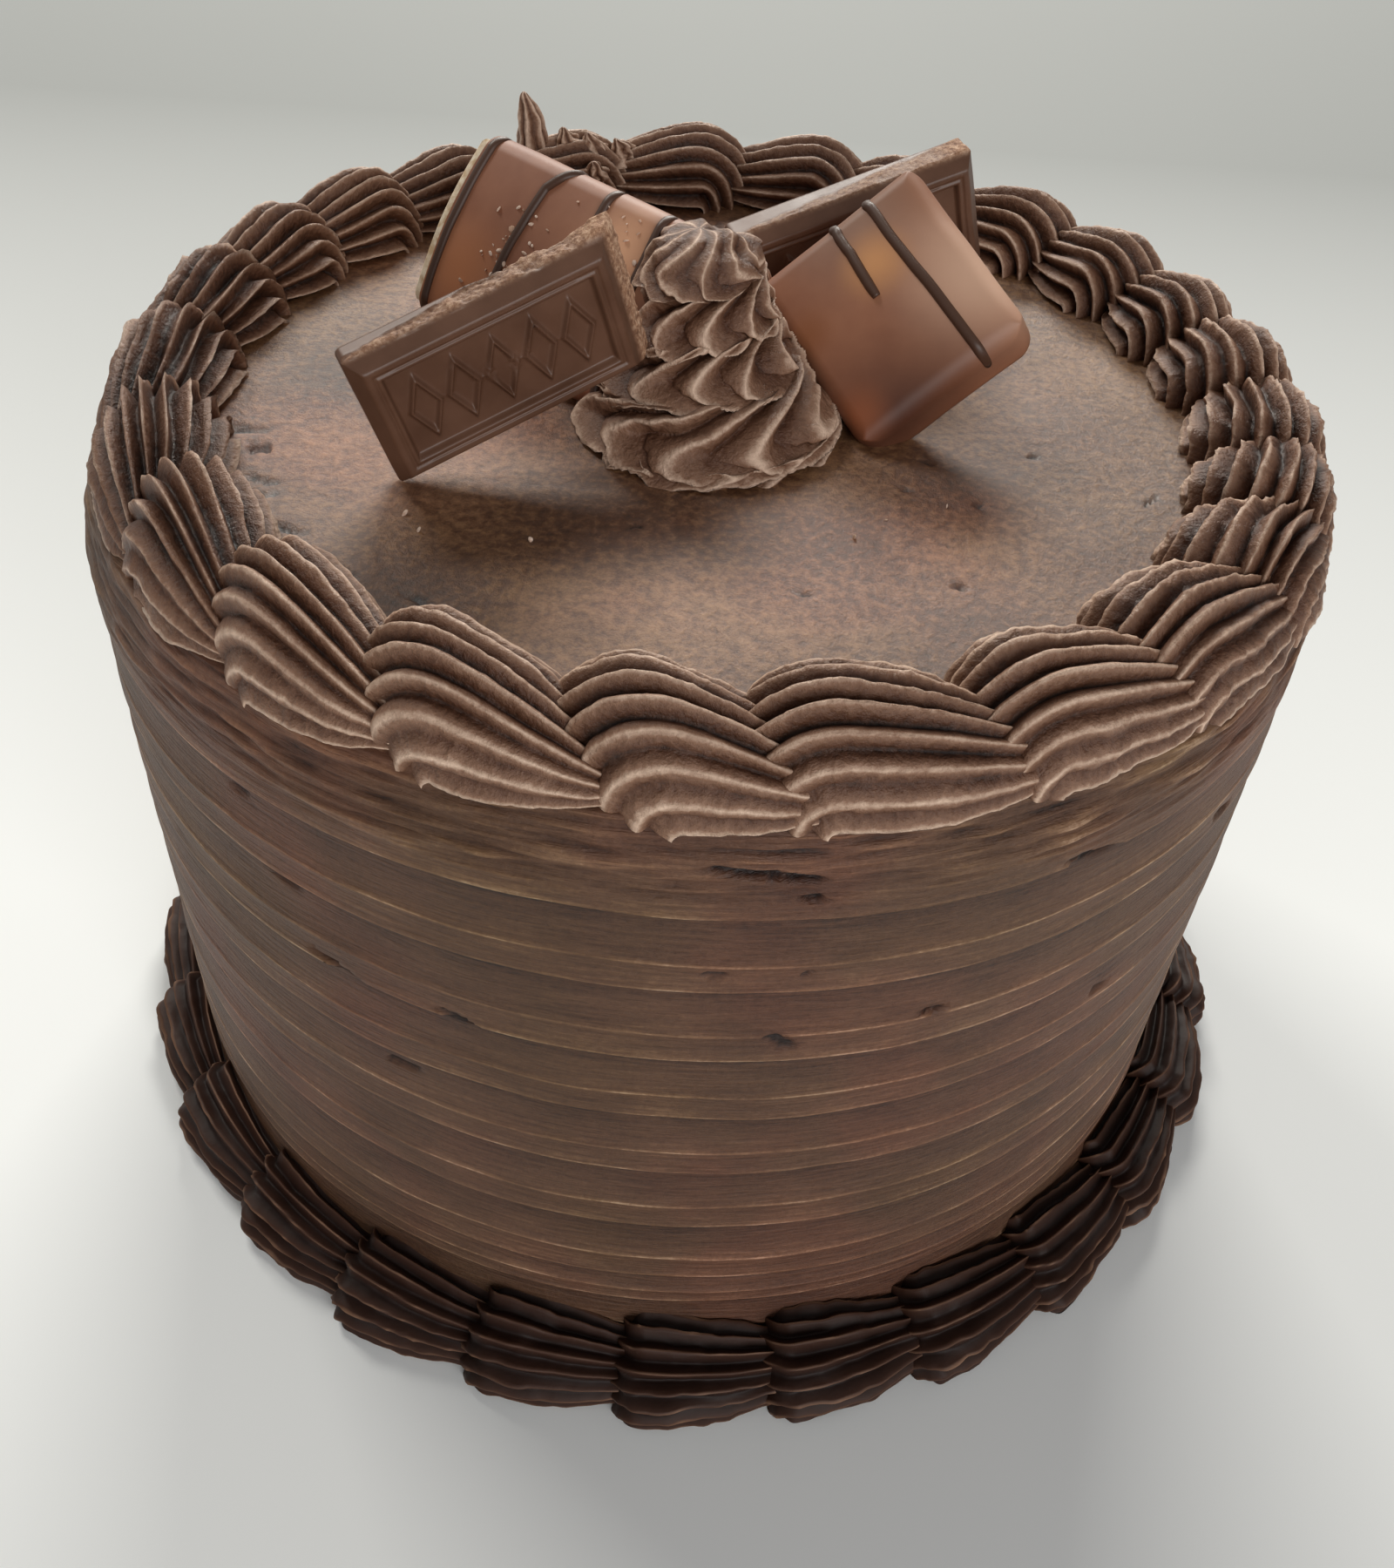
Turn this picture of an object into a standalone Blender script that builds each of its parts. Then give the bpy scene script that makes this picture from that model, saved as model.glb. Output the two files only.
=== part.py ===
"""Tall round layer cake, iced all over and built in place.

Metres, +Z up, origin at the centre of the flat base, front towards -Y.
The cake is solid. A comb has ringed its side, a ring of piped shells stands on its top edge,
a darker ring hides its foot, and a piped rosette on top holds four pieces of chocolate.
"""

import math
import random

import bmesh
import bpy
from mathutils import Matrix, Vector

for startup_object in list(bpy.data.objects):
    bpy.data.objects.remove(startup_object, do_unlink=True)

# Cake
CAKE_RADIUS = 0.0815
CAKE_HEIGHT = 0.106
CAKE_SEGMENTS = 42
TOP_ROUNDING = 0.0014
COMB_HEIGHTS = (0.0220, 0.0345, 0.0470, 0.0585, 0.0695, 0.0815, 0.0930)
COMB_DEPTH = 0.0011
COMB_STEP = 0.0012
CLEARANCE = 0.0003

# Top border: the angle of each shell's head, in degrees from +X, in the order they were piped
TOP_SHELL_ANGLES = (
    128, 142, 155.5, 168, 182, 198, 214, 230, 247, 263.5, 279.5, 298,
    314.5, 330.5, 343.5, 355.5, 369, 381.5, 394.5, 409, 424, 439, 455,
)
TOP_SHELL_RADIUS = 0.0722
TOP_TAIL_OVERLAP = 0.0062
TOP_SHELL_HALF_WIDTH = 0.0096
TOP_SHELL_THICKNESS = 0.0037
TOP_CURL_RADIUS = 0.0034
TOP_CURL_HEIGHT = 0.0040
TOP_TAIL_DRIFT = 0.0050
TOP_TAIL_LEAN = 84.0
# Turn round the curl in degrees, then width and thickness, as shares of the head's
TOP_CURL_STATIONS = (
    (232, 0.42, 0.60),
    (186, 0.74, 0.86),
    (140, 0.96, 1.00),
    (95, 1.00, 1.12),
)
# Share of the way to the tail's tip, then width, thickness and height of the middle
TOP_TAIL_STATIONS = (
    (0.40, 0.90, 1.36, 0.0056),
    (0.76, 0.60, 1.00, 0.0032),
    (1.00, 0.06, 0.10, 0.0008),
)
TOP_RIDGES = 5
TOP_RIDGE_DEPTH = 0.0014
LAST_SHELL_ANGLE = 471
PEAK_ANGLE = 477
PEAK_RADIUS = 0.0720
PEAK_BASE_RADIUS = 0.0054
PEAK_HEIGHT = 0.0170
# A pulled peak's width as a share of its base, at shares of its height
PEAK_TAPER = ((0.0, 1.0), (0.35, 0.62), (0.7, 0.24), (1.0, 0.02))
PEAK_AROUND = 8
SHELL_SIZES = (0.97, 1.04)
SHELL_UNDERSIDE_POINTS = 2

# Bottom border
FOOT_SHELLS = 26
FOOT_FIRST_ANGLE = -105.5
FOOT_RADIUS = 0.0838
FOOT_RING_SHIFT = 0.0016
FOOT_CENTRE_HEIGHT = 0.0030
FOOT_SHELL_SIZE = 0.0092
FOOT_RIDGES = 4
FOOT_RIDGE_DEPTH = 0.0011
# Share of the way to the next shell, then width as a share of the widest
FOOT_STATIONS = ((-0.28, 0.60), (-0.12, 0.90), (0.15, 1.0), (0.60, 0.93), (1.02, 0.74))
FOOT_UNDERSIDE_POINTS = 3
# The shells are largest towards this angle and shrink by this share either way
FOOT_LARGEST_ANGLE = 285.0
FOOT_SHRINK = 0.07
FOOT_SIZES = (0.98, 1.03)

# Rosette
ROSETTE_CENTRE = (0.0005, -0.0060)
ROSETTE_APEX = (-0.0026, 0.0025, 0.0228)
# Radius of the crests at shares of the height
ROSETTE_PROFILE = (
    (0.0, 0.0168),
    (0.10, 0.0178),
    (0.22, 0.0164),
    (0.36, 0.0130),
    (0.50, 0.0106),
    (0.65, 0.0092),
    (0.80, 0.0083),
    (0.90, 0.0068),
    (0.96, 0.0045),
    (1.0, 0.0004),
)
ROSETTE_TIERS = 4.5
ROSETTE_INSET = 0.0012
ROSETTE_FADE = 2.6
ROSETTE_POINT = 0.0004
ROSETTE_ROOT = 0.002
ROSETTE_TIER_DEPTH = 0.0016
ROSETTE_TIER_TURN = 0.6
ROSETTE_FLUTES = 14
ROSETTE_FLUTE_DEPTH = 0.0013
ROSETTE_TWIST = 1.9
ROSETTE_AROUND = 42
ROSETTE_UP = 15
ROSETTE_PEAK_BASE = (0.0035, 0.0085, 0.1060)
ROSETTE_PEAK_TIP = (0.0062, 0.0120, 0.1200)
ROSETTE_PEAK_RADIUS = 0.0040

# Moulded bar pieces: length, width and thickness, with a bevel round a raised rim
FRONT_BAR_SIZE = (0.0335, 0.0184, 0.0048)
# How far the broken right end and far side reach out at the back
FRONT_BAR_FLARE = (0.0022, 0.0012)
BACK_BAR_SIZE = (0.0356, 0.0172, 0.0062)
BAR_BEVEL = 0.0021
BAR_BEVEL_DROP = 0.0026
BAR_RIM = 0.0012
BAR_RECESS = 0.0010
BAR_RECESS_SLOPE = 0.0004
BAR_DIAMONDS = 5
BAR_DIAMOND_HEIGHT = 0.0006
BAR_DIAMOND_ROOT = 0.0004
BAR_DIAMOND_TAPER = 0.86
BAR_DIAMOND_REACH = 0.42
BAR_DIAMOND_MARGIN = 0.6
BAR_ROOM = 0.0004

# Coated wafer bars: length, width and thickness at the rim, with a domed top
COATED_LEFT_SIZE = (0.0400, 0.0265, 0.0078)
COATED_RIGHT_SIZE = (0.0255, 0.0283, 0.0074)
COATED_CROWN = 0.0016
COATED_CORNER = 0.0030
CUT_CORNER = 0.0002
COATED_UNDER = ((0.0012, 0.0), (0.0, 0.0014))
COATED_EDGE = ((0.0, -0.0030), (0.0007, -0.0012), (0.0022, 0.0))
# Distance in from the edge and share of the crown's height
COATED_TOP = ((0.0065, 0.72), (0.0105, 1.0))
CROWN_EDGE_FROM = 0.86
CROWN_EDGE_DROP = 0.0022
COATED_ROOM = 0.0012
COATED_ROOM_SLOPE = 0.004
COATING_WALL = 0.0013
FILLING_OVERHANG = 0.0007
FILLING_TOP = -0.0013
FILLING_BEVEL = (0.0020, 0.0016)
FILLING_END = 0.001
DRIZZLE_WIDTH = 0.0013
DRIZZLE_HEIGHT = 0.0006
DRIZZLE_ROOT = 0.0021
DRIZZLE_TOP_SHARES = (0.6, 0.8)
DRIZZLE_REACH = 0.985
# Lines over the coats, in shares of half the length and half the width
RIGHT_DRIZZLES = (
    ((0.02, 1.00), (0.02, 0.80), (0.0, 0.45), (-0.02, 0.05)),
    ((0.42, 1.00), (0.43, 0.85), (0.44, 0.30), (0.46, -0.35), (0.48, -0.88), (0.48, -1.00)),
)
LEFT_DRIZZLES = (
    ((-0.93, -1.00), (-0.93, -0.80), (-0.93, 0.0), (-0.93, 0.82), (-0.93, 1.00)),
    ((-0.30, -0.95), (-0.36, -0.50), (-0.34, 0.10), (-0.30, 0.70), (-0.16, 1.00)),
    ((0.30, -0.95), (0.26, 0.0), (0.22, 0.70), (0.22, 1.00)),
    ((0.80, -0.95), (0.74, 0.0), (0.70, 0.80), (0.70, 1.00)),
)

# Where the chocolates lie: middle of the face, then directions along and across it
FRONT_BAR_SPOT = (
    (-0.0243, -0.0218, 0.1202),
    (0.0283, 0.0144, 0.0107),
    (-0.0048, -0.0035, 0.0173),
)
BACK_BAR_SPOT = (
    (0.0205, 0.0254, 0.1166),
    (0.0320, 0.0104, 0.0102),
    (-0.0020, -0.0010, 0.0098),
)
LEFT_COATED_SPOT = (
    (-0.0226, 0.0104, 0.1181),
    (0.0298, -0.0267, -0.0006),
    (0.0107, 0.0115, 0.0212),
)
RIGHT_COATED_SPOT = (
    (0.0214, 0.0016, 0.1207),
    (0.0190, 0.0055, 0.0157),
    (-0.0151, 0.0213, 0.0109),
)

SEED = 7
FLOOR_REACH = 0.13
FLOOR_DEPTH = 0.03

# Colours, linear
BUTTERCREAM = (0.105, 0.060, 0.043)
DARK_ICING = (0.024, 0.012, 0.009)
MOULDED_CHOCOLATE = (0.075, 0.038, 0.027)
MILK_COATING = (0.145, 0.062, 0.036)
CREAM_FILLING = (0.66, 0.53, 0.38)


def collection_named(name, parent, helper=False):
    found = bpy.data.collections.new(name)
    parent.children.link(found)
    found.hide_render = helper
    return found


CAKE = collection_named("layer_cake", bpy.context.scene.collection)
CUTTERS = collection_named("cutters", bpy.context.scene.collection, helper=True)


def material_named(name, colour, roughness):
    made = bpy.data.materials.new(name)
    made.use_nodes = True
    shader = made.node_tree.nodes["Principled BSDF"]
    shader.inputs["Base Color"].default_value = (*colour, 1.0)
    shader.inputs["Roughness"].default_value = roughness
    shader.inputs["Metallic"].default_value = 0.0
    return made


def object_from(name, points, faces, collection):
    """A mesh object. In the cutters' collection it is hidden from renders and drawn as wire."""
    mesh = bpy.data.meshes.new(name)
    mesh.from_pydata([tuple(point) for point in points], [], faces)
    mesh.update()
    made = bpy.data.objects.new(name, mesh)
    collection.objects.link(made)
    if collection is not CAKE:
        made.hide_render = True
        made.display_type = "WIRE"
    return made


def face_outwards(target):
    shape = bmesh.new()
    shape.from_mesh(target.data)
    bmesh.ops.recalc_face_normals(shape, faces=shape.faces)
    shape.to_mesh(target.data)
    shape.free()


def closed_tube(name, loops, collection):
    """A tube through closed loops with the same number of points each, capped at both ends."""
    count, around = len(loops), len(loops[0])
    faces = [tuple(reversed(range(around)))]
    for i in range(count - 1):
        for j in range(around):
            k = (j + 1) % around
            faces.append(
                (
                    i * around + j,
                    i * around + k,
                    (i + 1) * around + k,
                    (i + 1) * around + j,
                )
            )
    last = (count - 1) * around
    faces.append(tuple(range(last, last + around)))
    made = object_from(name, [p for loop in loops for p in loop], faces, collection)
    face_outwards(made)
    return made


def apply_modifiers(target):
    """Bakes a modifier stack into the object's mesh."""
    bpy.context.view_layer.update()
    graph = bpy.context.evaluated_depsgraph_get()
    baked = bpy.data.meshes.new_from_object(target.evaluated_get(graph))
    target.modifiers.clear()
    target.data = baked


def boolean_with(target, operation, operand):
    """One Boolean of the target with an object or a whole collection, applied."""
    step = target.modifiers.new(operation.lower(), "BOOLEAN")
    step.operation = operation
    step.solver = "MANIFOLD"
    if isinstance(operand, bpy.types.Collection):
        step.operand_type = "COLLECTION"
        step.collection = operand
    else:
        step.object = operand
    apply_modifiers(target)


def fuse(name, pieces, helpers):
    """Joins the pieces into one solid called name, and removes them."""
    whole = pieces[0].copy()
    whole.data = pieces[0].data.copy()
    whole.name = name
    whole.hide_render = False
    whole.display_type = "TEXTURED"
    CAKE.objects.link(whole)
    helpers.objects.unlink(pieces[0])
    boolean_with(whole, "UNION", helpers)
    for piece in pieces:
        bpy.data.objects.remove(piece, do_unlink=True)
    bpy.data.collections.remove(helpers)
    return whole


def keep_largest_skin(target):
    """Drops loose scraps and fills sealed hollows: only the skin with the most faces stays."""
    shape = bmesh.new()
    shape.from_mesh(target.data)
    skins = []
    unseen = set(shape.faces)
    while unseen:
        first = unseen.pop()
        skin = [first]
        waiting = [first]
        while waiting:
            for edge in waiting.pop().edges:
                for face in edge.link_faces:
                    if face in unseen:
                        unseen.remove(face)
                        skin.append(face)
                        waiting.append(face)
        skins.append(skin)
    skins.sort(key=len)
    extra = [face for skin in skins[:-1] for face in skin]
    bmesh.ops.delete(shape, geom=extra, context="FACES")
    shape.to_mesh(target.data)
    shape.free()


def finish(target, surface, smooth_angle=40.0):
    """One skin, its material and its shading: faces closer than the angle look round."""
    keep_largest_skin(target)
    target.data.materials.clear()
    target.data.materials.append(surface)
    for polygon in target.data.polygons:
        polygon.material_index = 0
        polygon.use_smooth = True
    target.data.set_sharp_from_angle(angle=math.radians(smooth_angle))


def solid_of_revolution(name, profile, collection):
    """A Screw of a profile that runs from the top centre down the outer side to the base."""
    made = object_from(name, [(r, 0.0, z) for r, z in profile], [], collection)
    made.data.clear_geometry()
    made.data.from_pydata(
        [(r, 0.0, z) for r, z in profile],
        [(i, i + 1) for i in range(len(profile) - 1)],
        [],
    )
    turn = made.modifiers.new("turn", "SCREW")
    turn.steps = CAKE_SEGMENTS
    turn.render_steps = CAKE_SEGMENTS
    turn.use_merge_vertices = True
    turn.merge_threshold = 0.00001
    apply_modifiers(made)
    return made


# Cake: a cylinder whose side a toothed comb has dragged into rings, each a slope and a step
def cake_profile():
    points = [(0.0, CAKE_HEIGHT), (CAKE_RADIUS - 2 * TOP_ROUNDING, CAKE_HEIGHT)]
    points.append((CAKE_RADIUS - TOP_ROUNDING * 0.4, CAKE_HEIGHT - TOP_ROUNDING * 0.6))
    points.append((CAKE_RADIUS, CAKE_HEIGHT - TOP_ROUNDING * 2))
    for height in reversed(COMB_HEIGHTS):
        points.append((CAKE_RADIUS, height + COMB_STEP))
        points.append((CAKE_RADIUS - COMB_DEPTH, height))
    points.append((CAKE_RADIUS, 0.0))
    points.append((0.0, 0.0))
    return points


icing = material_named("buttercream", BUTTERCREAM, 0.55)
cake = solid_of_revolution("cake_body", cake_profile(), CAKE)
finish(cake, icing)

cake_room = solid_of_revolution(
    "cake_room",
    [
        (0.0, CAKE_HEIGHT + CLEARANCE),
        (CAKE_RADIUS + CLEARANCE, CAKE_HEIGHT + CLEARANCE),
        (CAKE_RADIUS + CLEARANCE, -FLOOR_DEPTH),
        (0.0, -FLOOR_DEPTH),
    ],
    CUTTERS,
)
floor_box = closed_tube(
    "floor_box",
    [
        [
            (-FLOOR_REACH, -FLOOR_REACH, z),
            (FLOOR_REACH, -FLOOR_REACH, z),
            (FLOOR_REACH, FLOOR_REACH, z),
            (-FLOOR_REACH, FLOOR_REACH, z),
        ]
        for z in (-FLOOR_DEPTH, 0.0)
    ],
    CUTTERS,
)


# Piped shells: a star tip lays a fat ridged rope that curls up and over, then thins to a tail
def ridged_loop(half_width, thickness, ridges, depth, underside):
    """Points (across, up) of a rope's section: ridges over the upper half, smooth below."""
    loop = []
    for k in range(2 * ridges + 1):
        angle = math.pi * k / (2 * ridges)
        inset = depth * (k % 2)
        loop.append(
            (
                (half_width - inset) * math.cos(angle),
                (thickness - inset) * math.sin(angle),
            )
        )
    for k in range(1, underside + 1):
        angle = math.pi + math.pi * k / (underside + 1)
        loop.append((half_width * math.cos(angle), thickness * math.sin(angle)))
    return loop


def ring_point(angle, forward, radius, height):
    """A point so far forward along the ring from an angle, at a radius and a height."""
    around = angle + forward / radius
    return (radius * math.cos(around), radius * math.sin(around), height)


def top_shell(index, angle_degrees, next_degrees, size, helpers):
    """One shell: fan of sections round the curl, then a tail that drifts over the cake's edge."""
    angle = math.radians(angle_degrees)
    length = math.radians(next_degrees - angle_degrees) * TOP_SHELL_RADIUS + TOP_TAIL_OVERLAP
    stations = []
    for turn, width, thick in TOP_CURL_STATIONS:
        lean = math.radians(turn)
        stations.append(
            (
                TOP_CURL_RADIUS * math.cos(lean),
                TOP_CURL_HEIGHT + TOP_CURL_RADIUS * math.sin(lean),
                lean,
                width,
                thick,
                0.0,
            )
        )
    for along, width, thick, height in TOP_TAIL_STATIONS:
        lean = math.radians(TOP_TAIL_LEAN)
        stations.append((along * length, height, lean, width, thick, along**1.4))
    loops = []
    for forward, height, lean, width, thick, drift in stations:
        section = ridged_loop(
            TOP_SHELL_HALF_WIDTH * width * size,
            TOP_SHELL_THICKNESS * thick * size,
            TOP_RIDGES,
            TOP_RIDGE_DEPTH * min(width, thick),
            SHELL_UNDERSIDE_POINTS,
        )
        loop = []
        for across, up in section:
            radius = TOP_SHELL_RADIUS + TOP_TAIL_DRIFT * drift + across
            x = (forward + up * math.cos(lean)) * size
            z = CAKE_HEIGHT + height * size + up * math.sin(lean)
            loop.append(ring_point(angle, x * TOP_SHELL_RADIUS / radius, radius, z))
        loops.append(loop)
    return closed_tube(f"shell_{index}", loops, helpers)


def pulled_peak(name, base, tip, radius, helpers):
    """A thin pointed peak, left where the piping tip was pulled away."""
    base = Vector(base)
    tip = Vector(tip)
    loops = []
    for along, width in PEAK_TAPER:
        centre = base.lerp(tip, along)
        loops.append(
            [
                (
                    centre.x + radius * width * math.cos(2 * math.pi * k / PEAK_AROUND),
                    centre.y + radius * width * math.sin(2 * math.pi * k / PEAK_AROUND),
                    centre.z,
                )
                for k in range(PEAK_AROUND)
            ]
        )
    return closed_tube(name, loops, helpers)


draw = random.Random(SEED)
top_shells = collection_named("top_shells", CUTTERS)
heads = (*TOP_SHELL_ANGLES, LAST_SHELL_ANGLE, TOP_SHELL_ANGLES[0] + 360)
shells = [
    top_shell(i, heads[i], heads[i + 1], draw.uniform(*SHELL_SIZES), top_shells)
    for i in range(len(heads) - 1)
]
peak_at = math.radians(PEAK_ANGLE)
peak_base = ring_point(peak_at, 0.0, PEAK_RADIUS, CAKE_HEIGHT)
peak_tip = ring_point(peak_at, 0.0, PEAK_RADIUS, CAKE_HEIGHT + PEAK_HEIGHT)
shells.append(pulled_peak("border_peak", peak_base, peak_tip, PEAK_BASE_RADIUS, top_shells))
top_border = fuse("top_border", shells, top_shells)
boolean_with(top_border, "DIFFERENCE", cake_room)
finish(top_border, icing)


# Foot border: fatter, shorter shells of darker icing, pressed into the corner on the board
def foot_shell(index, angle_degrees, size, helpers):
    angle = math.radians(angle_degrees)
    step = 2 * math.pi / FOOT_SHELLS * FOOT_RADIUS
    loops = []
    for along, width in FOOT_STATIONS:
        section = ridged_loop(
            FOOT_SHELL_SIZE * width * size,
            FOOT_SHELL_SIZE * width * size,
            FOOT_RIDGES,
            FOOT_RIDGE_DEPTH,
            FOOT_UNDERSIDE_POINTS,
        )
        # Turned by an eighth of a circle, so that the ridges face up and outwards
        loop = []
        for across, up in section:
            outward = (across + up) * math.sqrt(0.5)
            rise = (up - across) * math.sqrt(0.5)
            x, y, z = ring_point(
                angle + along * step / FOOT_RADIUS,
                0.0,
                FOOT_RADIUS + outward,
                FOOT_CENTRE_HEIGHT + rise,
            )
            loop.append((x + FOOT_RING_SHIFT, y, z))
        loops.append(loop[::-1])
    return closed_tube(f"foot_{index}", loops, helpers)


foot_shells = collection_named("foot_shells", CUTTERS)
feet = []
for i in range(FOOT_SHELLS):
    degrees = FOOT_FIRST_ANGLE + 360.0 / FOOT_SHELLS * i
    turned = math.cos(math.radians(degrees - FOOT_LARGEST_ANGLE))
    size = (1.0 - FOOT_SHRINK + FOOT_SHRINK * turned) * draw.uniform(*FOOT_SIZES)
    feet.append(foot_shell(i, degrees, size, foot_shells))
foot_border = fuse("bottom_border", feet, foot_shells)
boolean_with(foot_border, "DIFFERENCE", cake_room)
boolean_with(foot_border, "DIFFERENCE", floor_box)
finish(foot_border, material_named("dark_icing", DARK_ICING, 0.35))


# Chocolates: each is made flat, face up, then laid in its place on the cake
def placement(centre, along, across):
    """The matrix that puts a flat piece's length and width along two directions."""
    x = Vector(along).normalized()
    z = x.cross(Vector(across)).normalized()
    y = z.cross(x)
    return Matrix(
        (
            (x.x, y.x, z.x, centre[0]),
            (x.y, y.y, z.y, centre[1]),
            (x.z, y.z, z.z, centre[2]),
            (0, 0, 0, 1),
        )
    )


FRONT_BAR_PLACE = placement(*FRONT_BAR_SPOT)
BACK_BAR_PLACE = placement(*BACK_BAR_SPOT)
LEFT_COATED_PLACE = placement(*LEFT_COATED_SPOT)
RIGHT_COATED_PLACE = placement(*RIGHT_COATED_SPOT)


def rectangle(half_length, half_width, height, reach=(0.0, 0.0)):
    """The corners of a rectangle, its right end and far side moved out by reach."""
    right = half_length + reach[0]
    far = half_width + reach[1]
    return [
        (-half_length, -half_width, height),
        (right, -half_width, height),
        (right, far, height),
        (-half_length, far, height),
    ]


def moulded_piece(name, size, flare, helpers):
    """A bar segment: plain back, bevelled rim, sunk panel with a row of plain diamonds."""
    length = size[0] / 2
    width = size[1] / 2
    thickness = size[2]
    rim = BAR_BEVEL + BAR_RIM
    floor = rim + BAR_RECESS_SLOPE
    block = closed_tube(
        name + "_block",
        [
            rectangle(length, width, -thickness, flare),
            rectangle(length, width, -BAR_BEVEL_DROP),
            rectangle(length - BAR_BEVEL, width - BAR_BEVEL, 0.0),
            rectangle(length - rim, width - rim, 0.0),
            rectangle(length - floor, width - floor, -BAR_RECESS),
        ],
        helpers,
    )
    pieces = [block]
    spacing = 2 * (length - rim) / (BAR_DIAMONDS + BAR_DIAMOND_MARGIN)
    reach = spacing * BAR_DIAMOND_REACH
    low = -BAR_RECESS - BAR_DIAMOND_ROOT
    high = -BAR_RECESS + BAR_DIAMOND_HEIGHT
    for i in range(BAR_DIAMONDS):
        x = (i - (BAR_DIAMONDS - 1) / 2) * spacing
        loops = []
        for scale, height in ((1.0, low), (BAR_DIAMOND_TAPER, high)):
            loops.append(
                [
                    (x - reach * scale, 0.0, height),
                    (x, -reach * scale, height),
                    (x + reach * scale, 0.0, height),
                    (x, reach * scale, height),
                ]
            )
        pieces.append(closed_tube(f"{name}_diamond_{i}", loops, helpers))
    return pieces


def rounded_rectangle(half_length, half_width, corner, height, round_left=True):
    """Points round a rectangle with rounded corners, square on its left end if asked."""
    loop = []
    for cx, cy, first in ((1, 1, 0), (-1, 1, 90), (-1, -1, 180), (1, -1, 270)):
        radius = corner if (cx > 0 or round_left) else CUT_CORNER
        for k in range(4):
            angle = math.radians(first + 30 * k)
            loop.append(
                (
                    cx * (half_length - radius) + radius * math.cos(angle),
                    cy * (half_width - radius) + radius * math.sin(angle),
                    height,
                )
            )
    return loop


def coated_block(name, size, whole, collection):
    """A wafer bar with a thin chocolate coat: flat below, rounded edges, crowned on top."""
    length = size[0] / 2
    width = size[1] / 2
    profile = [(inset, height - size[2]) for inset, height in COATED_UNDER]
    profile += list(COATED_EDGE)
    profile += [(inset, share * COATED_CROWN) for inset, share in COATED_TOP]
    loops = []
    for inset, height in profile:
        end = inset if whole else inset / 2
        loops.append(
            rounded_rectangle(length - end, width - inset, COATED_CORNER, height, whole)
        )
    if not whole:
        for loop in loops:
            for k, (x, y, z) in enumerate(loop):
                if x < -length / 2:
                    loop[k] = (-length, y, z)
    return closed_tube(name, loops, collection)


def crown_height(x, y, size):
    """How high the coat's crowned top stands over a point of the flat piece."""
    edge = max(abs(x) / (size[0] / 2), abs(y) / (size[1] / 2))
    past = max(0.0, edge - CROWN_EDGE_FROM) / (1.0 - CROWN_EDGE_FROM)
    return COATED_CROWN * (1.0 - min(1.0, edge) ** 4) - CROWN_EDGE_DROP * past


def drizzle(name, line, size, helpers):
    """A thread of dark chocolate that fell across the coat, fused to it."""
    loops = []
    points = [Vector((x, y, crown_height(x, y, size))) for x, y in line]
    for i, point in enumerate(points):
        ahead = points[min(i + 1, len(points) - 1)] - points[max(i - 1, 0)]
        side = Vector((ahead.y, -ahead.x, 0.0)).normalized() * (DRIZZLE_WIDTH / 2)
        low = Vector((0.0, 0.0, -DRIZZLE_ROOT))
        high = Vector((0.0, 0.0, DRIZZLE_HEIGHT * DRIZZLE_TOP_SHARES[1]))
        narrow = side * DRIZZLE_TOP_SHARES[0]
        corners = (point + side + low, point + narrow + high, point - narrow + high)
        loops.append([tuple(corner) for corner in (*corners, point - side + low)])
    return closed_tube(name, loops, helpers)


def lay(pieces, place):
    for piece in pieces:
        piece.data.transform(place)
        piece.data.update()
    return pieces


def chocolate(name, pieces, place, helpers, surface):
    """Fuses a flat piece's parts, lays it in place and trims what would sink into the cake."""
    made = fuse(name, lay(pieces, place), helpers)
    boolean_with(made, "DIFFERENCE", cake_room)
    finish(made, surface, 30.0)
    return made


moulded = material_named("bar_chocolate", MOULDED_CHOCOLATE, 0.38)
coating = material_named("milk_coating", MILK_COATING, 0.32)

parts = collection_named("front_bar_parts", CUTTERS)
pieces = moulded_piece("front", FRONT_BAR_SIZE, FRONT_BAR_FLARE, parts)
chocolate("bar_piece_front", pieces, FRONT_BAR_PLACE, parts, moulded)

parts = collection_named("back_bar_parts", CUTTERS)
pieces = moulded_piece("back", BACK_BAR_SIZE, (0.0, 0.0), parts)
chocolate("bar_piece_back", pieces, BACK_BAR_PLACE, parts, moulded)

parts = collection_named("right_coated_parts", CUTTERS)
half_x = COATED_RIGHT_SIZE[0] / 2
half_y = COATED_RIGHT_SIZE[1] / 2 * DRIZZLE_REACH
pieces = [coated_block("right_block", COATED_RIGHT_SIZE, True, parts)]
for i, line in enumerate(RIGHT_DRIZZLES):
    points = [(u * half_x, v * half_y) for u, v in line]
    pieces.append(drizzle(f"right_drizzle_{i}", points, COATED_RIGHT_SIZE, parts))
chocolate("coated_bar_right", pieces, RIGHT_COATED_PLACE, parts, coating)

parts = collection_named("left_coated_parts", CUTTERS)
half_x = COATED_LEFT_SIZE[0] / 2
half_y = COATED_LEFT_SIZE[1] / 2 * DRIZZLE_REACH
pieces = [coated_block("left_block", COATED_LEFT_SIZE, False, parts)]
for i, line in enumerate(LEFT_DRIZZLES):
    points = [(u * half_x, v * half_y) for u, v in line]
    pieces.append(drizzle(f"left_drizzle_{i}", points, COATED_LEFT_SIZE, parts))
coated_left = chocolate("coated_bar_left", pieces, LEFT_COATED_PLACE, parts, coating)


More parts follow.
